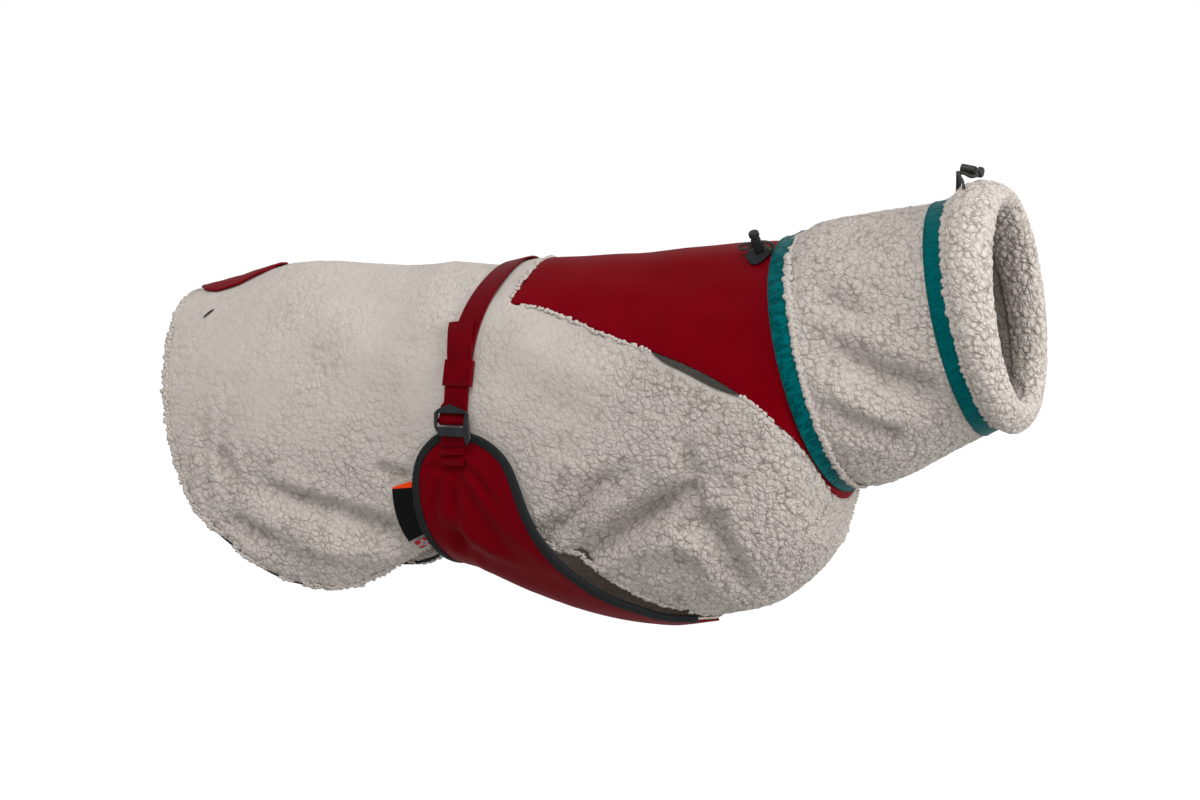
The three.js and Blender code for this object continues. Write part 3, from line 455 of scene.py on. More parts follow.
def copy_of(node, name, flat_angle=50.0):
    """A merged copy of a CAD node, with its triangles joined into four-sided faces."""
    mesh = NODES[node].data.copy()
    mesh.materials.clear()
    piece = bpy.data.objects.new(name, mesh)
    bpy.context.scene.collection.objects.link(piece)
    activate(piece)
    bpy.ops.mesh.customdata_custom_splitnormals_clear()
    work = bmesh.new()
    work.from_mesh(mesh)
    bmesh.ops.remove_doubles(work, verts=work.verts, dist=0.00002)
    angle = math.radians(flat_angle)
    bmesh.ops.join_triangles(work, faces=work.faces, angle_face_threshold=angle, angle_shape_threshold=angle)
    for edge in work.edges:
        edge.smooth = True
    for face in work.faces:
        face.smooth = True
    work.to_mesh(mesh)
    work.free()
    return piece


def points_of(piece, kind="co"):
    """The places of a piece's points, or their normals."""
    flat = np.empty(len(piece.data.vertices) * 3)
    piece.data.vertices.foreach_get(kind, flat)
    return flat.reshape(-1, 3)


def set_points(piece, points):
    piece.data.vertices.foreach_set("co", points.ravel())
    piece.data.update()


def outward(points):
    """Unit ways out of the hollow coat, square to its own axis."""
    middle = np.interp(points[:, 0], AXIS_X, AXIS_Z)
    away = np.stack([np.zeros(len(points)), points[:, 1], 0.8 * (points[:, 2] - middle)], 1)
    return away / np.maximum(np.linalg.norm(away, axis=1), 1e-6)[:, None]


def line_distance(points, line):
    """How far each point in the side view is from a line of points, and how far along the line it is."""
    line = np.array(line, float) * MM
    best = np.full(len(points), 1e9)
    at = np.zeros(len(points))
    for index, (start, end) in enumerate(zip(line[:-1], line[1:])):
        way = end - start
        share = np.clip(((points - start) @ way) / (way @ way), -0.25 if index == 0 else 0, 1.25)
        share = np.where(share > 1, share if index == len(line) - 2 else 1, share)
        gap = np.linalg.norm(points - start - share[:, None] * way, axis=1)
        nearer = gap < best
        best = np.where(nearer, gap, best)
        at = np.where(nearer, (index + share) / (len(line) - 1), at)
    return best, at


def crease(piece, folds, deep=1.0):
    """Presses the folds into a piece: as listed on the right side, and a little moved and shallower on the
    left. Both faces of the cloth move together."""
    points = points_of(piece)
    way = outward(points)
    move = np.zeros(len(points))
    for index, (line, width, depth) in enumerate(folds):
        for side in SIDES.values():
            step = 0 if side < 0 else LEFT_SHIFT * math.sin(2.4 * index + 1.0)
            share = 1 if side < 0 else LEFT_SHARE + 0.2 * math.sin(1.7 * index)
            path = [(x + step, z + 0.7 * step) for x, z in line]
            gap, at = line_distance(points[:, [0, 2]], path)
            reach = gap / (width * MM)
            ends = np.clip(np.minimum(at + 0.25, 1.25 - at) / 0.45, 0, 1)
            ends = ends * ends * (3 - 2 * ends)
            here = np.clip(points[:, 1] * side / (12 * MM), 0, 1)
            shoulder = 0.32 * np.exp(-((reach - 2.0) / 0.8) ** 2)
            move -= deep * depth * MM * share * ends * here * (np.exp(-reach ** 2) - shoulder)
    set_points(piece, points + way * move[:, None])


def thicken_inside(piece, depth):
    """Moves the hidden inner face of a wall inwards, so that the wall is nowhere thinner than its remesh."""
    points = points_of(piece)
    way = outward(points)
    inner = np.clip(-2 * np.einsum("ij,ij->i", way, points_of(piece, "normal")), 0, 1)
    set_points(piece, points - way * (inner * depth * MM)[:, None])


def ripple(piece, pitch, height, stretch=(1, 1, 1), seed=0.0):
    """Uneven soft waves in and out of the hollow coat."""
    points = points_of(piece)
    scaled = points * np.array(stretch) / (pitch * MM)
    wave = np.zeros(len(points))
    for turn in range(4):
        way = np.array([math.sin(seed + 2.1 * turn), math.cos(1.3 * seed + 1.7 * turn),
                        math.sin(3.3 * turn + 1)])
        wave += np.sin(scaled @ way * 6.283 + seed + turn * 1.9)
    set_points(piece, points + outward(points) * (wave * height * MM / 4)[:, None])


def give_attribute(piece, name, values):
    attribute = piece.data.attributes.new(name, "FLOAT", "POINT")
    attribute.data.foreach_set("value", np.asarray(values, np.float32))


def give_uv(piece, along, across):
    """Writes a measure in metres for each point as the piece's UV map."""
    layer = piece.data.uv_layers.new(name="Measure")
    corners = np.empty(len(piece.data.loops), np.int32)
    piece.data.loops.foreach_get("vertex_index", corners)
    layer.data.foreach_set("uv", np.stack([along[corners], across[corners]], 1).astype(np.float32).ravel())


def turn_round(points, middle):
    """How far round the coat each point is: an angle from the top, below 0 on the right side."""
    return np.arctan2(np.abs(points[:, 1]), points[:, 2] - middle) * np.where(points[:, 1] < 0, -1, 1)


def wrap_uv(piece):
    """UV for cloth that goes round the coat: along the back, and round it."""
    points = points_of(piece)
    middle = np.interp(points[:, 0], AXIS_X, AXIS_Z)
    give_uv(piece, points[:, 0], turn_round(points, middle) * COAT_RADIUS)


def strap_uv(piece):
    """UV for webbing that goes round the coat: along it, and across it."""
    points = points_of(piece)
    turn = turn_round(points, AXIS_Z[1])
    give_uv(piece, turn * COAT_RADIUS, points[:, 0] - 0.02 * np.sin(turn))


def flat_uv(piece):
    """UV for a small flat piece: along its longest way from its top end, and across it."""
    points = points_of(piece)
    centred = points - points.mean(0)
    ways = np.linalg.svd(centred, full_matrices=False)[2]
    along = centred @ ways[0]
    if ways[0][2] > 0:
        along = -along
    across = centred @ ways[1]
    give_uv(piece, along - along.min(), across - across.min())


def curl_modifier(piece, size, height, level):
    """Raises the pile's curls in the mesh. Level is the share of the height that stays under the surface."""
    tree = bpy.data.node_groups.new("Curls", "GeometryNodeTree")
    for way in ("INPUT", "OUTPUT"):
        tree.interface.new_socket("Geometry", in_out=way, socket_type="NodeSocketGeometry")
    start = put(tree, "NodeGroupInput")
    place = put(tree, "GeometryNodeInputPosition").outputs[0]
    pile = put(tree, "GeometryNodeInputNamedAttribute", {"Name": "pile"}, data_type="FLOAT").outputs[0]
    rise = calc(tree, "SUBTRACT", curl_height(tree, place, size), level)
    amount = times(tree, times(tree, rise, height), pile)
    normal = put(tree, "GeometryNodeInputNormal").outputs[0]
    offset = put(tree, "ShaderNodeVectorMath", {0: normal, "Scale": amount}, operation="SCALE").outputs[0]
    moved = put(tree, "GeometryNodeSetPosition", {"Geometry": start.outputs[0], "Offset": offset})
    put(tree, "NodeGroupOutput", {0: moved.outputs[0]})
    apply(piece, "NODES", node_group=tree)
    bpy.data.node_groups.remove(tree)


def smooth_shade(piece, angle=None):
    activate(piece)
    if angle is None:
        bpy.ops.object.shade_smooth()
    else:
        bpy.ops.object.shade_smooth_by_angle(angle=math.radians(angle))


def seat(piece, nodes, slot, *materials):
    """The piece takes the place of its CAD nodes."""
    piece.data.materials.clear()
    for material in materials:
        piece.data.materials.append(material)
    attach(piece, "root")
    if nodes:
        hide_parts(*nodes)


def drawn_back(points):
    """Points of the belly panel with its front end drawn back under the chest, as photographed."""
    back = np.clip(np.asarray(points)[:, 0] - DRAW_FROM, 0, None) * DRAW_SHARE
    return points - np.outer(back, (1, 0, DRAW_SINK))


def cloth(node, name, levels, folds=None, deep=1.0):
    """A cloth piece on its CAD solid's form: smoothed, with its cut edges kept, and creased."""
    piece = copy_of(node, name)
    work = bmesh.new()
    work.from_mesh(piece.data)
    layer = work.edges.layers.float.get("crease_edge") or work.edges.layers.float.new("crease_edge")
    for edge in work.edges:
        if len(edge.link_faces) == 2 and edge.calc_face_angle(0) > math.radians(SHARP_EDGE):
            edge[layer] = 0.75
    work.to_mesh(piece.data)
    work.free()
    apply(piece, "SUBSURF", levels=levels, render_levels=levels)
    if folds:
        crease(piece, folds, deep)
    return piece


def rim_lines(node):
    """Lines of points round the outer face of a CAD node, each point with the way towards the face's middle.
    The longest line comes first."""
    work = bmesh.new()
    work.from_mesh(NODES[node].data)
    bmesh.ops.remove_doubles(work, verts=work.verts, dist=0.00002)
    work.normal_update()
    faces = list(work.faces)
    centres = np.array([face.calc_center_median() for face in faces])
    facing = np.einsum("ij,ij->i", outward(centres), np.array([face.normal for face in faces]))
    outer = {face for face, share in zip(faces, facing) if share > OUTER_LEAST}
    rim = {}
    for edge in work.edges:
        mine = [face for face in edge.link_faces if face in outer]
        if len(mine) == 1:
            a, b = edge.verts
            way = mine[0].calc_center_median() - (a.co + b.co) / 2
            run = (b.co - a.co).normalized()
            inward = (way - run * way.dot(run)).normalized()
            rim.setdefault(a, []).append((b, inward))
            rim.setdefault(b, []).append((a, inward))
    lines = []
    left = set(rim)
    while left:
        ends = [vert for vert in left if len(rim[vert]) == 1]
        here = min(ends or left, key=lambda vert: tuple(vert.co))
        line = []
        while here is not None:
            left.discard(here)
            ways = [inward for _, inward in rim[here]]
            line.append((np.array(here.co), np.array(sum(ways, Vector()).normalized())))
            here = next((vert for vert, _ in rim[here] if vert in left), None)
        if len(line) > 4:
            lines.append(line)
    work.free()

    def length(line):
        return sum(np.linalg.norm(a[0] - b[0]) for a, b in zip(line[:-1], line[1:]))

    return sorted(lines, key=length, reverse=True)


def seam_lines(lines, inset):
    """Lines of points from rim lines, moved in from the rim by a distance in metres."""
    return [np.array([point + inward * inset for point, inward in line]) for line in lines]


def spaced(points, pitch):
    """Points a pitch apart along a line."""
    points = np.array(points)
    steps = np.linalg.norm(np.diff(points, axis=0), axis=1)
    at = np.concatenate([[0], np.cumsum(steps)])
    count = max(2, int(at[-1] / pitch))
    wanted = np.linspace(0, at[-1], count + 1)
    return np.stack([np.interp(wanted, at, points[:, axis]) for axis in range(3)], 1)


# One stitch: rings from end to end as (place along it, half width, rise), in shares of its length and thread.
STITCH = [(-0.5, 0.25, -0.5), (-0.3, 0.9, 0.25), (0.3, 0.9, 0.25), (0.5, 0.25, -0.5)]


def sew(name, piece, lines, material, pitch=3.0, length=2.1, thread=0.36):
    """Rows of stitches that lie on a finished piece, along lines of points in metres."""
    surface = BVHTree.FromObject(piece, bpy.context.evaluated_depsgraph_get())
    points = []
    faces = []
    for line in lines:
        path = spaced(line, pitch * MM)
        for start, end in zip(path[:-1], path[1:]):
            place, normal, _, gap = surface.find_nearest(Vector((start + end) / 2))
            if place is None or gap > 0.006:
                continue
            run = Vector(end - start)
            run = (run - normal * run.dot(normal)).normalized()
            side = normal.cross(run)
            base = len(points)
            for share, half, rise in STITCH:
                middle = place + run * share * length * MM + normal * rise * thread * MM
                for across, up in ((1, 0), (0, 1), (-1, 0), (0, -1)):
                    points.append(middle + (side * across + normal * up) * half * thread * MM)
            for ring in range(3):
                for corner in range(4):
                    after = (corner + 1) % 4
                    low = base + 4 * ring
                    faces.append((low + corner, low + after, low + 4 + after, low + 4 + corner))
            faces.append((base + 3, base + 2, base + 1, base))
            faces.append((base + 12, base + 13, base + 14, base + 15))
    stitches = new_piece(name, points, faces)
    smooth_shade(stitches)
    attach(stitches, "root")
    stitches.data.materials.append(material)


def tube(name, points, radius):
    """A round tube along points, with its own measure as UV."""
    sides = 14
    points = np.array(points)
    verts = []
    uv_along = []
    uv_across = []
    side = Vector((0.3, 0.5, 0.8))
    travelled = 0.0
    for index, point in enumerate(points):
        before = points[max(index - 1, 0)]
        after = points[min(index + 1, len(points) - 1)]
        run = Vector(after - before).normalized()
        side = (side - run * side.dot(run)).normalized()
        up = run.cross(side)
        if index:
            travelled += float(np.linalg.norm(point - before))
        for corner in range(sides):
            turn = 2 * math.pi * corner / sides
            verts.append(Vector(point) + (side * math.cos(turn) + up * math.sin(turn)) * radius)
            uv_along.append(travelled)
            uv_across.append(turn * radius)
    faces = []
    for ring in range(len(points) - 1):
        for corner in range(sides):
            after = (corner + 1) % sides
            low = ring * sides
            faces.append((low + corner, low + after, low + sides + after, low + sides + corner))
    faces.append(tuple(reversed(range(sides))))
    faces.append(tuple(range(len(verts) - sides, len(verts))))
    piece = new_piece(name, verts, faces)
    give_uv(piece, np.array(uv_along), np.array(uv_across))
    smooth_shade(piece, 50)
    return piece


def smooth_line(points, steps=12):
    """A centripetal curve through points in mm, as the CAD draws its cords. Returns metres."""
    points = [np.array(point, float) * MM for point in points]
    points = [2 * points[0] - points[1]] + points + [2 * points[-1] - points[-2]]
    line = []
    for a, b, c, d in zip(points, points[1:], points[2:], points[3:]):
        knots = np.cumsum([0] + [np.linalg.norm(q - p) ** 0.5 for p, q in ((a, b), (b, c), (c, d))])
        for share in np.linspace(0, 1, steps, endpoint=False):
            t = knots[1] + share * (knots[2] - knots[1])
            level = [(p * (knots[k + 1] - t) + q * (t - knots[k])) / (knots[k + 1] - knots[k])
                     for k, (p, q) in enumerate(((a, b), (b, c), (c, d)))]
            level = [(p * (knots[k + 2] - t) + q * (t - knots[k])) / (knots[k + 2] - knots[k])
                     for k, (p, q) in enumerate(zip(level, level[1:]))]
            line.append((level[0] * (knots[2] - t) + level[1] * (t - knots[1])) / (knots[2] - knots[1]))
    line.append(points[-2])
    return line


def colour(name, description, default):
    """A colour that a user can change."""
    return bpy.props.FloatVectorProperty(name=name, description=description, subtype="COLOR", size=3,
                                         default=default)


class CoatFinish(bpy.types.PropertyGroup):
    """Colours and sizes of the coat's cloth."""

    fleece: colour("Fleece", "Colour of the pile", (0.54, 0.488, 0.445))
    # The lining's default is paler than its own grey-brown: painted light that brightens it where it lies in
    # shade in the leg openings.
    lining: colour("Lining", "Colour of the belly lining", (0.6, 0.53, 0.47))
    softshell: colour("Softshell", "Colour of the yoke and tail patch", (0.17, 0.0002, 0.0042))
    belly: colour("Belly", "Colour of the belly panel", (0.15, 0.0006, 0.0045))
    tape: colour("Tape", "Colour of the two cord casings", (0.0, 0.1, 0.108))
    binding: colour("Binding", "Colour of the edge bindings", (0.012, 0.0125, 0.013))
    webbing: colour("Webbing", "Colour of the strap, keepers and loops", (0.14, 0.0003, 0.004))
    curl: bpy.props.FloatProperty(
        name="Curl size", description="Width of one curl of the pile", unit="LENGTH", default=0.0046)
    height: bpy.props.FloatProperty(
        name="Curl height", description="How far the curls stand up", unit="LENGTH", default=0.0018)


class CoatFittings(bpy.types.PropertyGroup):
    """Colours and sizes of the coat's fittings."""

    buckle: colour("Buckle", "Colour of the buckles", (0.03, 0.032, 0.035))
    edge: colour("Buckle edge", "Colour of the buckles' polished edges", (0.85, 0.87, 0.9))
    lock: colour("Lock", "Colour of the cord locks", (0.008, 0.0083, 0.009))
    cord: colour("Cord", "Colour of the cords", (0.06, 0.06, 0.058))
    cord_width: bpy.props.FloatProperty(
        name="Cord width", description="Diameter of the cords", unit="LENGTH", default=0.0025)
    bevel: bpy.props.FloatProperty(
        name="Bevel", description="Width of the buckles' bevelled edges", unit="LENGTH", default=0.001)


class CoatStage(bpy.types.PropertyGroup):
    """Camera, floor and lights."""

    azimuth: bpy.props.FloatProperty(
        name="Azimuth", description="How far round towards the head the camera stands", subtype="ANGLE",
        default=math.radians(22))
    elevation: bpy.props.FloatProperty(
        name="Elevation", description="How high the camera looks from", subtype="ANGLE",
        default=math.radians(3))
    distance: bpy.props.FloatProperty(
        name="Distance", description="Camera to the coat", unit="LENGTH", default=4.0)
    lens: bpy.props.FloatProperty(
        name="Lens", description="Focal length", unit="CAMERA", default=150.0)
    target: bpy.props.FloatVectorProperty(
        name="Target", description="The point that the camera looks at", subtype="XYZ", unit="LENGTH",
        default=(-0.115, 0.0, -0.124))
    floor: bpy.props.FloatProperty(
        name="Floor", description="Height of the floor below the origin", unit="LENGTH", default=-0.56)
    ambient: bpy.props.FloatProperty(
        name="Ambient", description="Strength of the even light from all sides", default=0.53)
    key: bpy.props.FloatProperty(
        name="Key light", description="Strength of the main soft light, front above", default=1.3)


class COAT_OT_stage(bpy.types.Operator):
    """Sets the camera, a pale floor and soft studio light"""

    bl_idname = "coat.stage"
    bl_label = "Stage"

    def execute(self, context):
        stage = context.scene.coat_stage
        lift = math.cos(stage.elevation)
        back = Vector((math.sin(stage.azimuth) * lift, -math.cos(stage.azimuth) * lift,
                       math.sin(stage.elevation)))
        target = Vector(stage.target)
        camera = bpy.data.objects.new("Camera", bpy.data.cameras.new("Camera"))
        context.scene.collection.objects.link(camera)
        camera.data.lens = stage.lens
        camera.data.sensor_width = 36
        camera.data.clip_end = 100
        camera.location = target + back * stage.distance
        camera.rotation_euler = back.to_track_quat("Z", "Y").to_euler()
        context.scene.camera = camera
        bpy.ops.object.select_all(action="DESELECT")
        bpy.ops.mesh.primitive_circle_add(vertices=96, radius=30, fill_type="NGON",
                                          location=(0, 0, stage.floor))
        floor = context.active_object
        floor.name = "floor"
        material, tree, shader = paint("Pale floor", (0.99, 0.99, 0.99), 0.9, Emission_Strength=0.16,
                                       Emission_Color=(1.0, 1.0, 1.0, 1.0), Specular_IOR_Level=0.1)
        speck = cloud(tree, object_place(tree), 3.0, 2.0).outputs[0]
        feed(shader, "Base Color", blend(tree, speck, (0.92, 0.92, 0.92), (0.94, 0.94, 0.94)))
        floor.data.materials.append(material)
        floor.visible_diffuse = False
        floor.visible_glossy = False
        self.light_world(context.scene, stage.ambient)
        across = Vector((math.cos(stage.azimuth), math.sin(stage.azimuth), 0))
        front = Vector((back.x, back.y, 0)).normalized()
        up = Vector((0, 0, 1))
        lamps = {
            "key": (front * 0.75 + up * 1.0 - across * 0.2, 30, stage.key),
            "fill": (front * 0.55 + up * 0.12 + across * 1.0, 40, stage.key * FILL_SHARE),
        }
        for name, (way, spread, power) in lamps.items():
            lamp = bpy.data.objects.new(name, bpy.data.lights.new(name, "SUN"))
            context.scene.collection.objects.link(lamp)
            lamp.data.angle = math.radians(spread)
            lamp.data.energy = power
            lamp.location = target + way * 2
            lamp.rotation_euler = way.to_track_quat("Z", "Y").to_euler()
        return {"FINISHED"}

    def light_world(self, scene, ambient):
        """Even light from all sides. The camera sees the background as white."""
        world = bpy.data.worlds.new("Studio")
        world.use_nodes = True
        tree = world.node_tree
        seen = put(tree, "ShaderNodeLightPath").outputs["Is Camera Ray"]
        strength = put(tree, "ShaderNodeMapRange", {"Value": seen, "To Min": ambient, "To Max": 1.0})
        tree.nodes["Background"].inputs[0].default_value = (1.0, 1.0, 1.0, 1.0)
        tree.links.new(strength.outputs[0], tree.nodes["Background"].inputs[1])
        scene.world = world
        scene.view_settings.view_transform = "Standard"


# Both cords' routes, as part.mjs has them, in mm.
WITHERS_ROUTE = [
    (46.1, -42.5, -2.0), (42.7, -42.0, -0.1), (39.3, -41.4, 2.1), (29.4, -41.8, 0.6), (25.1, -42.5, -1.1),
    (21.6, -42.6, -1.3), (19.2, -42.7, -0.2), (20.6, -42.8, 1.4), (24.6, -43.0, 2.7), (29.1, -43.3, 3.1),
    (39.0, -42.7, 4.6), (42.3, -39.4, 4.1), (45.1, -35.6, 2.0),
]
COLLAR_ROUTE = [
    (198.0, -27.0, 46.9), (193.6, -17.0, 52.0), (188.2, -9.5, 58.4), (192.2, -9.5, 58.0),
    (199.2, -11.5, 55.4), (202.8, -8.6, 56.8), (200.8, -5.6, 59.0),
]


class COAT_OT_cords(bpy.types.Operator):
    """Lays the elastic cords of both locks"""

    bl_idname = "coat.cords"
    bl_label = "Cords"

    def execute(self, context):
        fittings = context.scene.coat_fittings
        width = fittings.cord_width
        material = cord_material("Elastic cord", fittings.cord)
        for node, route in (("withers_cord", WITHERS_ROUTE), ("collar_cord", COLLAR_ROUTE)):
            path = smooth_line(route)
            piece = tube(node + "_braid", path, width / 2)
            seat(piece, [node], "cord", material)
        return {"FINISHED"}


# The fleece pieces as (node, size of the remesh in mm, folds).
FLEECE = [("body_fleece", 2.8, BODY_FOLDS), ("collar", 2.1, COLLAR_FOLDS), ("collar_cuff", 1.9, None)]


def pile_strength(node, points):
    """How strongly the pile curls: long on the chest, collar and cuff, brushed flat on the back."""
    if node != "body_fleece":
        return np.full(len(points), 1.0 if node == "collar_cuff" else 0.85)
    x, y, z = points.T / MM
    low = 1 / (1 + np.exp((z + 165) / 16))
    chest = 1 / (1 + np.exp(-(x + 70) / 22)) / (1 + np.exp((z + 70) / 14))
    mottled = 0.08 * np.sin(x / 23 + z / 31) + 0.06 * np.sin(x / 11 - z / 17)
    return np.clip(0.26 + 0.6 * low + 0.75 * chest + mottled, 0.16, 1.0)


# What lies on the body's pile and presses it down.
ON_PILE = [part + "_" + side for part in ("keeper", "buckle", "reflective_tab") for side in SIDES]
ON_PILE += ["back_strap", "side_label", "flag_tab", "tail_patch", "belly_panel", "belly_binding"]


def pressed(points, nodes, reach=5.0):
    """0 where one of the nodes touches a point, and 1 from the reach in mm on."""
    gap = np.full(len(points), 1.0)
    for node in nodes:
        low, high = [np.array(corner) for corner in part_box(node)]
        near = np.where(((points > low - reach * MM) & (points < high + reach * MM)).all(1))[0]
        if len(near):
            mesh = NODES[node].data
            tree = BVHTree.FromPolygons([vert.co for vert in mesh.vertices],
                                        [tuple(face.vertices) for face in mesh.polygons])
            found = [tree.find_nearest(Vector(points[index]))[3] for index in near]
            gap[near] = np.minimum(gap[near], found)
    share = np.clip((gap / MM - 1.0) / (reach - 1.0), 0, 1)
    return share * share * (3 - 2 * share)


# One tuft of the pile: an icosahedron's corners and faces.
GOLD = (1 + math.sqrt(5)) / 2
CORNERS = [(x, y * GOLD, 0) for x in (-1, 1) for y in (-1, 1)]
CORNERS += [(0, a, b) for b, a, _ in CORNERS] + [(b, 0, a) for a, b, _ in CORNERS]
TUFT = np.array(CORNERS) / math.hypot(1, GOLD)


def tufts(name, lines, material, size=2.3, spacing=2.3, rows=(-1.0, 1.0), clear_of=()):
    """Loose curls along lines of points with the ways in, which hang over what they are sewn to."""
    chance = np.random.default_rng(11)
    work = bmesh.new()
    for corner in TUFT:
        work.verts.new(corner)
    bmesh.ops.convex_hull(work, input=work.verts)
    work.verts.index_update()
    shape = [[vert.index for vert in face.verts] for face in work.faces]
    work.free()
    points = []
    faces = []
    for line in lines:
        path = spaced([point for point, _ in line], spacing * MM)
        inward = np.stack([np.interp(np.linspace(0, 1, len(path)), np.linspace(0, 1, len(line)),
                                     [way[axis] for _, way in line]) for axis in range(3)], 1)
        free = pressed(path, clear_of, 4.0) > 0.4
        for at, way, out in zip(path[free], inward[free], outward(path)[free]):
            for row in rows:
                spot = at + way * (row + chance.uniform(-0.7, 0.7)) * MM
                spot = spot + out * chance.uniform(-0.7, 0.1) * MM + chance.normal(0, 0.3, 3) * MM
                scale = size * MM * chance.uniform(0.75, 1.25)
                turn = np.linalg.qr(chance.normal(0, 1, (3, 3)))[0]
                rough = (TUFT * chance.uniform(0.85, 1.12, (12, 1))) @ turn
                rough -= np.outer(rough @ out, out) * 0.45
                base = len(points)
                points.extend(spot + rough * scale)
                faces.extend([tuple(base + index for index in face) for face in shape])
    piece = new_piece(name, points, faces)
    face_outward(piece)
    give_attribute(piece, "pile", np.full(len(points), 0.12))
    smooth_shade(piece)
    seat(piece, [], "fleece", material)


def front_rim(node):
    """The one of a tape's two long edges that lies towards the head."""
    return max(rim_lines(node)[:2], key=lambda line: np.mean([point[0] for point, _ in line]))


class COAT_OT_fleece(bpy.types.Operator):
    """Makes the body, collar and cuff of pile fleece"""

    bl_idname = "coat.fleece"
    bl_label = "Fleece"

    def execute(self, context):
        finish = context.scene.coat_finish
        material = fleece_material("Cream pile fleece", finish.fleece, finish.curl, finish.height)
        # The cuff gets a brighter copy of the body's fleece: painted light on the cuff.
        pale = fleece_material("Pale cuff fleece", tint(finish.fleece, CUFF_PAINTED_LIGHT), finish.curl, finish.height)
        for node, grid, folds in FLEECE:
            piece = copy_of(node, node + "_pile")
            thicken_inside(piece, WALL_GAIN)
            apply(piece, "REMESH", mode="VOXEL", voxel_size=grid * MM, use_smooth_shade=True)
            apply(piece, "SMOOTH", factor=0.5, iterations=2)
            if folds:
                crease(piece, folds, FLEECE_DEEP)
            if node == "body_fleece":
                crease(piece, PANEL_FOLDS, PANEL_DEEP)
            points = points_of(piece)
            strength = pile_strength(node, points)
            if node == "body_fleece":
                strength = strength * (PRESSED_PILE + (1 - PRESSED_PILE) * pressed(points, ON_PILE))
            give_attribute(piece, "pile", strength)
            curl_modifier(piece, finish.curl, finish.height, level=0.3)
            smooth_shade(piece)
            seat(piece, [node], "fleece", pale if node == "collar_cuff" else material)
            if node == "body_fleece":
                tufts("hem_tufts", rim_lines(node), material, clear_of=ON_PILE + ["yoke", "neck_casing"])
        tufts("yoke_edge_tufts", rim_lines("yoke")[:1], material, size=2.3, spacing=1.9, rows=(-0.9,),
              clear_of=ON_PILE + ["neck_casing", "withers_tab"])
        for node, name in (("neck_casing", "collar_root_tufts"), ("collar_casing", "cuff_edge_tufts")):
            tufts(name, [front_rim(node)], material, size=3.1, spacing=2.7, rows=(-1.8, -0.6))
        return {"FINISHED"}


def rounded_patch(points, rim):
    """Points of the tail patch with its corners rounded into a leaf, still lying on the coat's back."""
    middle = (rim.min(0) + rim.max(0)) / 2
    half = (rim.max(0) - rim.min(0)) / 2
    flat = (points - middle)[:, :2] / half[:2]
    edge = (rim - middle)[:, :2] / half[:2]
    turn = np.arctan2(edge[:, 1], edge[:, 0])
    order = np.argsort(turn)
    reach = np.interp(np.arctan2(flat[:, 1], flat[:, 0]), turn[order],
                      np.linalg.norm(edge, axis=1)[order], period=2 * math.pi)
    moved = points.copy()
    moved[:, :2] = middle[:2] + flat * (np.minimum(PATCH_REACH / reach, PATCH_MOST))[:, None] * half[:2]
    shape = [np.stack([x * 0 + 1, x, y, x * x, x * y, y * y], 1) for x, y, _ in (points.T, moved.T)]
    fit = np.linalg.lstsq(shape[0], points[:, 2], rcond=None)[0]
    moved[:, 2] += (shape[1] - shape[0]) @ fit
    return moved


class COAT_OT_softshell(bpy.types.Operator):
    """Makes the yoke, the tail patch and the belly panel of smooth softshell"""

    bl_idname = "coat.softshell"
    bl_label = "Softshell"

    def execute(self, context):
        finish = context.scene.coat_finish
        red = softshell_material("Red softshell", finish.softshell)
        dark = softshell_material("Belly softshell", finish.belly)
        yoke = cloth("yoke", "yoke_cloth", 2, YOKE_FOLDS)
        ripple(yoke, 48, 0.8, seed=1.0)
        patch = cloth("tail_patch", "tail_patch_cloth", 3)
        rim = np.array([point for point, _ in rim_lines("tail_patch")[0]])
        set_points(patch, rounded_patch(points_of(patch), rim))
        ripple(patch, 22, 0.35, seed=2.0)
        panel = cloth("belly_panel", "belly_panel_cloth", 3, PANEL_FOLDS, PANEL_DEEP)
        set_points(panel, drawn_back(points_of(panel)))
        for piece, node, slot, material in ((yoke, "yoke", "softshell", red),
                                            (patch, "tail_patch", "softshell", red),
                                            (panel, "belly_panel", "softshell_belly", dark)):
            wrap_uv(piece)
            seat(piece, [node], slot, material)
        thread = thread_material("Red thread", tint(finish.softshell, 0.8))
        seam = seam_lines(rim_lines("tail_patch")[:1], 0.0018)[0]
        sew("tail_patch_stitches", patch, [rounded_patch(seam, rim)], thread)
        return {"FINISHED"}


class COAT_OT_lining(bpy.types.Operator):
    """Makes the belly panel's lining of short grey-brown pile"""

    bl_idname = "coat.lining"
    bl_label = "Belly lining"

    def execute(self, context):
        finish = context.scene.coat_finish
        piece = copy_of("belly_lining", "belly_lining_pile")
        apply(piece, "REMESH", mode="VOXEL", voxel_size=2.0 * MM, use_smooth_shade=True)
        crease(piece, PANEL_FOLDS, PANEL_DEEP)
        set_points(piece, drawn_back(points_of(piece)))
        give_attribute(piece, "pile", np.full(len(piece.data.vertices), 0.6))
        curl_modifier(piece, finish.curl * 0.8, finish.height * 0.5, level=0.7)
        smooth_shade(piece)
        # The lining's colour is painted light: paler than its own grey-brown, because it lies in shade.
        material = fleece_material("Grey pile lining", finish.lining, finish.curl * 0.8, finish.height * 0.5)
        seat(piece, ["belly_lining"], "lining", material)
        return {"FINISHED"}


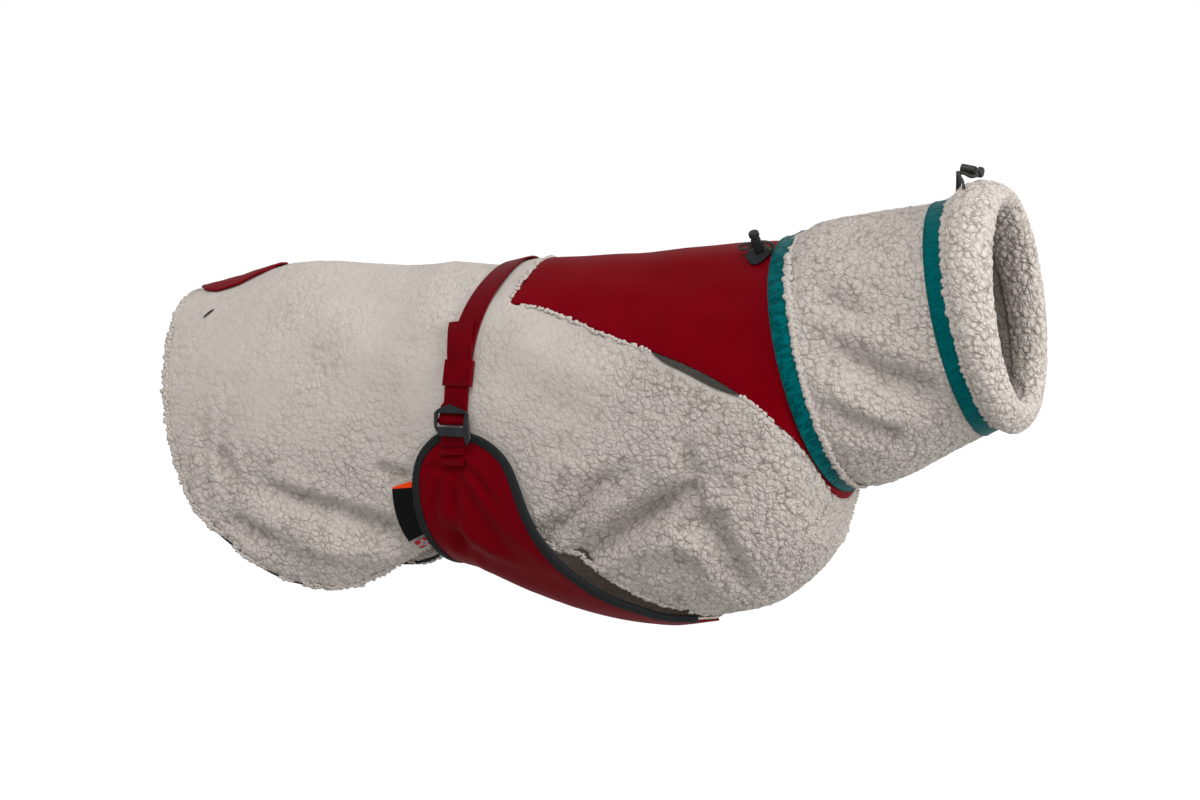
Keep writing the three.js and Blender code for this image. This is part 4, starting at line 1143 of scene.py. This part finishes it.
class COAT_OT_casings(bpy.types.Operator):
    """Makes the two shiny tapes that the cords run in"""

    bl_idname = "coat.casings"
    bl_label = "Cord casings"

    def execute(self, context):
        finish = context.scene.coat_finish
        thread = thread_material("Teal thread", tint(finish.tape, 0.45))
        for node, name, crinkle, wave in (("neck_casing", "neck_casing_tape", 1.0, 0.7),
                                          ("collar_casing", "collar_casing_tape", 0.35, 0.3)):
            piece = cloth(node, name, 3)
            ripple(piece, 14, wave * 0.5, stretch=(0.4, 1, 1), seed=3.0)
            wrap_uv(piece)
            seat(piece, [node], "casing", tape_material(name.replace("_", " ").capitalize(), finish.tape,
                                                        crinkle))
            rims = seam_lines(rim_lines(node)[:2], 0.0014)
            sew(node + "_stitches", piece, rims, thread, pitch=3.4)
        return {"FINISHED"}


class COAT_OT_bindings(bpy.types.Operator):
    """Makes the stretch bindings of the hem and the belly panel, with their stitching"""

    bl_idname = "coat.bindings"
    bl_label = "Bindings"

    def execute(self, context):
        finish = context.scene.coat_finish
        material = woven_material("Stretch binding", finish.binding, pitch=0.0009, relief=0.00012,
                                  roughness=0.78, shine=0.04)
        thread = thread_material("Grey thread", tint(finish.binding, 1.5))
        for node in ("hem_binding", "belly_binding"):
            piece = cloth(node, node + "_cloth", 2)
            ripple(piece, 11, 0.3, seed=4.0)
            crease(piece, PANEL_FOLDS, PANEL_DEEP)
            rims = seam_lines(rim_lines(node)[:2], 0.0013)
            if node == "belly_binding":
                set_points(piece, drawn_back(points_of(piece)))
                rims = [drawn_back(rim) for rim in rims]
            wrap_uv(piece)
            seat(piece, [node], "binding", material)
            sew(node + "_stitches", piece, rims, thread)
        return {"FINISHED"}


# Middle line in mm of the strap's folded-back end on the right side, from its fold down to the keeper.
FOLD_END = np.array([(-202.7, -75.3, -59.6), (-201.6, -80.4, -66.4), (-200.4, -84.3, -74.1),
                     (-199.3, -87.5, -82.0), (-198.0, -90.0, -91.3)])


def flat_band(name, path, width, thickness):
    """A flat band with rounded long edges along a path on the coat's side."""
    side = np.sign(path[0][1])
    ahead = np.gradient(path, axis=0)
    ahead /= np.linalg.norm(ahead, axis=1)[:, None]
    across = np.array((1, 0.05 * side, 0)) - np.outer(ahead @ (1, 0.05 * side, 0), (1, 1, 1)) * ahead
    across /= np.linalg.norm(across, axis=1)[:, None]
    out = np.cross(ahead, across)
    rim = [(-1, -0.5), (-0.96, -1), (0, -1), (0.96, -1), (1, -0.5)]
    rim += [(-a, -b) for a, b in rim]
    points = []
    for at, sideways, outwards in zip(path, across, out):
        points.extend(at + sideways * (a * width / 2) + outwards * (b * thickness / 2) for a, b in rim)
    count = len(rim)
    faces = [tuple(range(count)), tuple(range(len(points) - 1, len(points) - count - 1, -1))]
    for row in range(0, len(points) - count, count):
        for step in range(count):
            after = (step + 1) % count
            faces.append((row + step, row + count + step, row + count + after, row + after))
    piece = new_piece(name, points, faces)
    face_outward(piece)
    return piece


# The strap in the buckles' slots: from and up to which height in metres it is spread, over what length the
# spread fades, its share of the width, and how far the strap moves to the tail.
SLOT_LOW = -0.153
SLOT_HIGH = -0.123
SLOT_FADE = 0.003
SLOT_SPREAD = 0.13
SLOT_SHIFT = 0.0012


def fill_slots(piece):
    """Spreads the strap inside the buckles to the full width of their slots."""
    points = points_of(piece)
    x, y, z = points.T
    middle = np.mean([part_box("buckle_right")[0].x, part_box("buckle_right")[1].x])
    inside = np.clip((z - SLOT_LOW) / SLOT_FADE, 0, 1) * np.clip((SLOT_HIGH - z) / SLOT_FADE, 0, 1)
    x += inside * ((x - middle) * SLOT_SPREAD - SLOT_SHIFT)
    set_points(piece, np.stack([x, y, z], 1))


class COAT_OT_webbing(bpy.types.Operator):
    """Makes the strap over the back, its keepers and the belly loops"""

    bl_idname = "coat.webbing"
    bl_label = "Webbing"

    def execute(self, context):
        finish = context.scene.coat_finish
        material = woven_material("Red webbing", finish.webbing, pitch=0.0013, relief=0.00025,
                                  roughness=0.45, shine=0.06)
        thread = thread_material("Red webbing thread", tint(finish.webbing, 0.7))
        names = ["back_strap"] + [part + "_" + side for part in ("keeper", "belly_loop") for side in SIDES]
        for node in names:
            folds = LOOP_FOLDS if node.startswith("belly_loop") else None
            piece = cloth(node, node + "_weave", 3 if node == "back_strap" else 4, folds)
            if node == "back_strap":
                fill_slots(piece)
            strap_uv(piece)
            seat(piece, [node], "webbing", material)
            if node != "back_strap":
                low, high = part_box(node)
                x = (low.x + 0.0014, high.x - 0.0014)
                y = low.y if node.endswith("right") else high.y
                lines = [[(x[0], y, z), (x[1], y, z)] for z in (low.z + 0.0014, low.z + 0.0032)]
                sew(node + "_stitches", piece, lines, thread, pitch=2.2, length=1.7, thread=0.3)
        for side, way in SIDES.items():
            path = smooth_line([point * (1, -way, 1) for point in FOLD_END], 6)
            piece = flat_band("strap_fold_end_" + side, np.array(path), width=0.0216, thickness=0.0017)
            smooth_shade(piece, 40)
            strap_uv(piece)
            seat(piece, [], "webbing", material)
        return {"FINISHED"}


class COAT_OT_buckles(bpy.types.Operator):
    """Makes the two hook buckles, bevelled and satin, with polished edges"""

    bl_idname = "coat.buckles"
    bl_label = "Buckles"

    def execute(self, context):
        fittings = context.scene.coat_fittings
        satin = metal_material("Dark anodised metal", fittings.buckle, 0.4)
        polished = metal_material("Polished buckle edge", fittings.edge, 0.22)
        for side in SIDES:
            node = "buckle_" + side
            piece = hard_copy(node, node + "_bevelled")
            piece.data.materials.append(satin)
            piece.data.materials.append(polished)
            apply(piece, "BEVEL", width=fittings.bevel, segments=3, limit_method="ANGLE",
                  angle_limit=math.radians(50), material=1, profile=0.5)
            smooth_shade(piece, 35)
            indices = [polygon.material_index for polygon in piece.data.polygons]
            seat(piece, [node], "buckle", satin, polished)
            piece.data.polygons.foreach_set("material_index", indices)
        return {"FINISHED"}


def hard_copy(node, name):
    """A merged copy of a hard CAD node with its flat faces joined, ready for a bevel."""
    piece = copy_of(node, name, 1.0)
    work = bmesh.new()
    work.from_mesh(piece.data)
    bmesh.ops.dissolve_limit(work, angle_limit=math.radians(1), verts=work.verts, edges=work.edges)
    work.to_mesh(piece.data)
    work.free()
    return piece


class COAT_OT_locks(bpy.types.Operator):
    """Finishes the two cord locks, their plungers and the tabs that hold them"""

    bl_idname = "coat.locks"
    bl_label = "Cord locks"

    def execute(self, context):
        fittings = context.scene.coat_fittings
        plastic = plastic_material("Moulded lock", fittings.lock, 0.42)
        for node in ("withers_lock", "withers_lock_plunger", "collar_lock", "collar_lock_plunger"):
            NODES[node].data.materials.clear()
            NODES[node].data.materials.append(plastic)
        tab = woven_material("Black narrow webbing", (0.012, 0.012, 0.013), pitch=0.0009, relief=0.00015)
        for node in ("withers_tab", "collar_tab"):
            piece = cloth(node, node + "_weave", 3)
            flat_uv(piece)
            seat(piece, [node], "tab", tab)
        return {"FINISHED"}


class COAT_OT_labels(bpy.types.Operator):
    """Makes the bare side label with its orange fold, the flag and the reflective tabs"""

    bl_idname = "coat.labels"
    bl_label = "Labels and tabs"

    def execute(self, context):
        black = label_material("Black woven label", (0.0025, 0.0025, 0.003), fold_color=(0.95, 0.06, 0.004),
                               fold_width=0.0045)
        flag = flag_material("Woven flag", red=(0.42, 0.008, 0.015), white=(0.7, 0.7, 0.7),
                             navy=(0.01, 0.015, 0.06), centre=(0.0062, 0.004), arms=(0.0022, 0.0009))
        grey = woven_material("Reflective piping", (0.055, 0.052, 0.048), pitch=0.0008, relief=0.00012,
                              roughness=0.4, shine=0.02)
        for node, slot, material in (("side_label", "label", black), ("flag_tab", "flag", flag),
                                     ("reflective_tab_right", "reflective", grey),
                                     ("reflective_tab_left", "reflective", grey)):
            piece = cloth(node, node + "_cloth", 3)
            flat_uv(piece)
            seat(piece, [node], slot, material)
        return {"FINISHED"}


class COAT_OT_buttonholes(bpy.types.Operator):
    """Sews the two small slits beside the tail patch"""

    bl_idname = "coat.buttonholes"
    bl_label = "Tail slits"

    def execute(self, context):
        dark = plastic_material("Slit shade", (0.012, 0.011, 0.01), 0.9)
        thread = thread_material("Cream thread", tint(context.scene.coat_finish.fleece, 0.8))
        pile = bpy.data.objects["body_fleece_pile"]
        surface = BVHTree.FromObject(pile, context.evaluated_depsgraph_get())
        for side, sign in SIDES.items():
            start, end = [Vector((x, sign * y, z)) * MM for x, y, z in ((-442, 53, -61), (-434, 49, -54))]
            middle, normal, _, _ = surface.find_nearest((start + end) / 2)
            run = (end - start).normalized()
            run = (run - normal * run.dot(normal)).normalized()
            across = normal.cross(run)
            ring = [(math.cos(turn), math.sin(turn)) for turn in np.linspace(0, 2 * math.pi, 28)[:-1]]
            low = [middle + run * a * 0.0056 + across * b * 0.0011 - normal * 0.001 for a, b in ring]
            high = [middle + run * a * 0.0050 + across * b * 0.0008 + normal * 0.0007 for a, b in ring]
            count = len(ring)
            faces = [tuple(reversed(range(count))), tuple(range(count, 2 * count))]
            faces += [(k, (k + 1) % count, count + (k + 1) % count, count + k) for k in range(count)]
            slit = new_piece("tail_slit_" + side, low + high, faces)
            seat(slit, [], "fleece", dark)
            edge = [np.array(middle + run * a * 0.0066 + across * b * 0.0019) for a, b in ring]
            sew("tail_slit_" + side + "_stitches", pile, [edge + edge[:1]], thread, pitch=0.9, length=1.2,
                thread=0.3)
        return {"FINISHED"}


class COAT_OT_cuts(bpy.types.Operator):
    """Does nothing: it states no cuts for the cloth pieces"""

    bl_idname = "coat.cuts"
    bl_label = "Cuts"

    def execute(self, context):
        return {"FINISHED"}


STEPS = [COAT_OT_stage, COAT_OT_cords, COAT_OT_fleece, COAT_OT_softshell, COAT_OT_lining, COAT_OT_casings,
         COAT_OT_bindings, COAT_OT_webbing, COAT_OT_buckles, COAT_OT_locks, COAT_OT_labels,
         COAT_OT_buttonholes, COAT_OT_cuts]


class COAT_PT_panel(bpy.types.Panel):
    """Shows a button for each step, and the coat's colours, sizes and stage settings"""

    bl_label = "Dog Winter Coat"
    bl_idname = "COAT_PT_panel"
    bl_space_type = "VIEW_3D"
    bl_region_type = "UI"
    bl_category = "Coat"

    def draw(self, context):
        for step in STEPS:
            self.layout.operator(step.bl_idname)
        for group in (context.scene.coat_finish, context.scene.coat_fittings, context.scene.coat_stage):
            for name in group.bl_rna.properties.keys():
                if name not in ("rna_type", "name"):
                    self.layout.prop(group, name)


GROUPS = {"coat_finish": CoatFinish, "coat_fittings": CoatFittings, "coat_stage": CoatStage}


def register():
    for kind in [*GROUPS.values(), *STEPS, COAT_PT_panel]:
        bpy.utils.register_class(kind)
    for name, kind in GROUPS.items():
        setattr(bpy.types.Scene, name, bpy.props.PointerProperty(type=kind))


def unregister():
    for name in GROUPS:
        delattr(bpy.types.Scene, name)
    for kind in reversed([*GROUPS.values(), *STEPS, COAT_PT_panel]):
        bpy.utils.unregister_class(kind)


def main():
    register()
    for step in STEPS:
        family, action = step.bl_idname.split(".")
        getattr(getattr(bpy.ops, family), action)()
    bpy.context.view_layer.update()


if __name__ == "__main__":
    main()
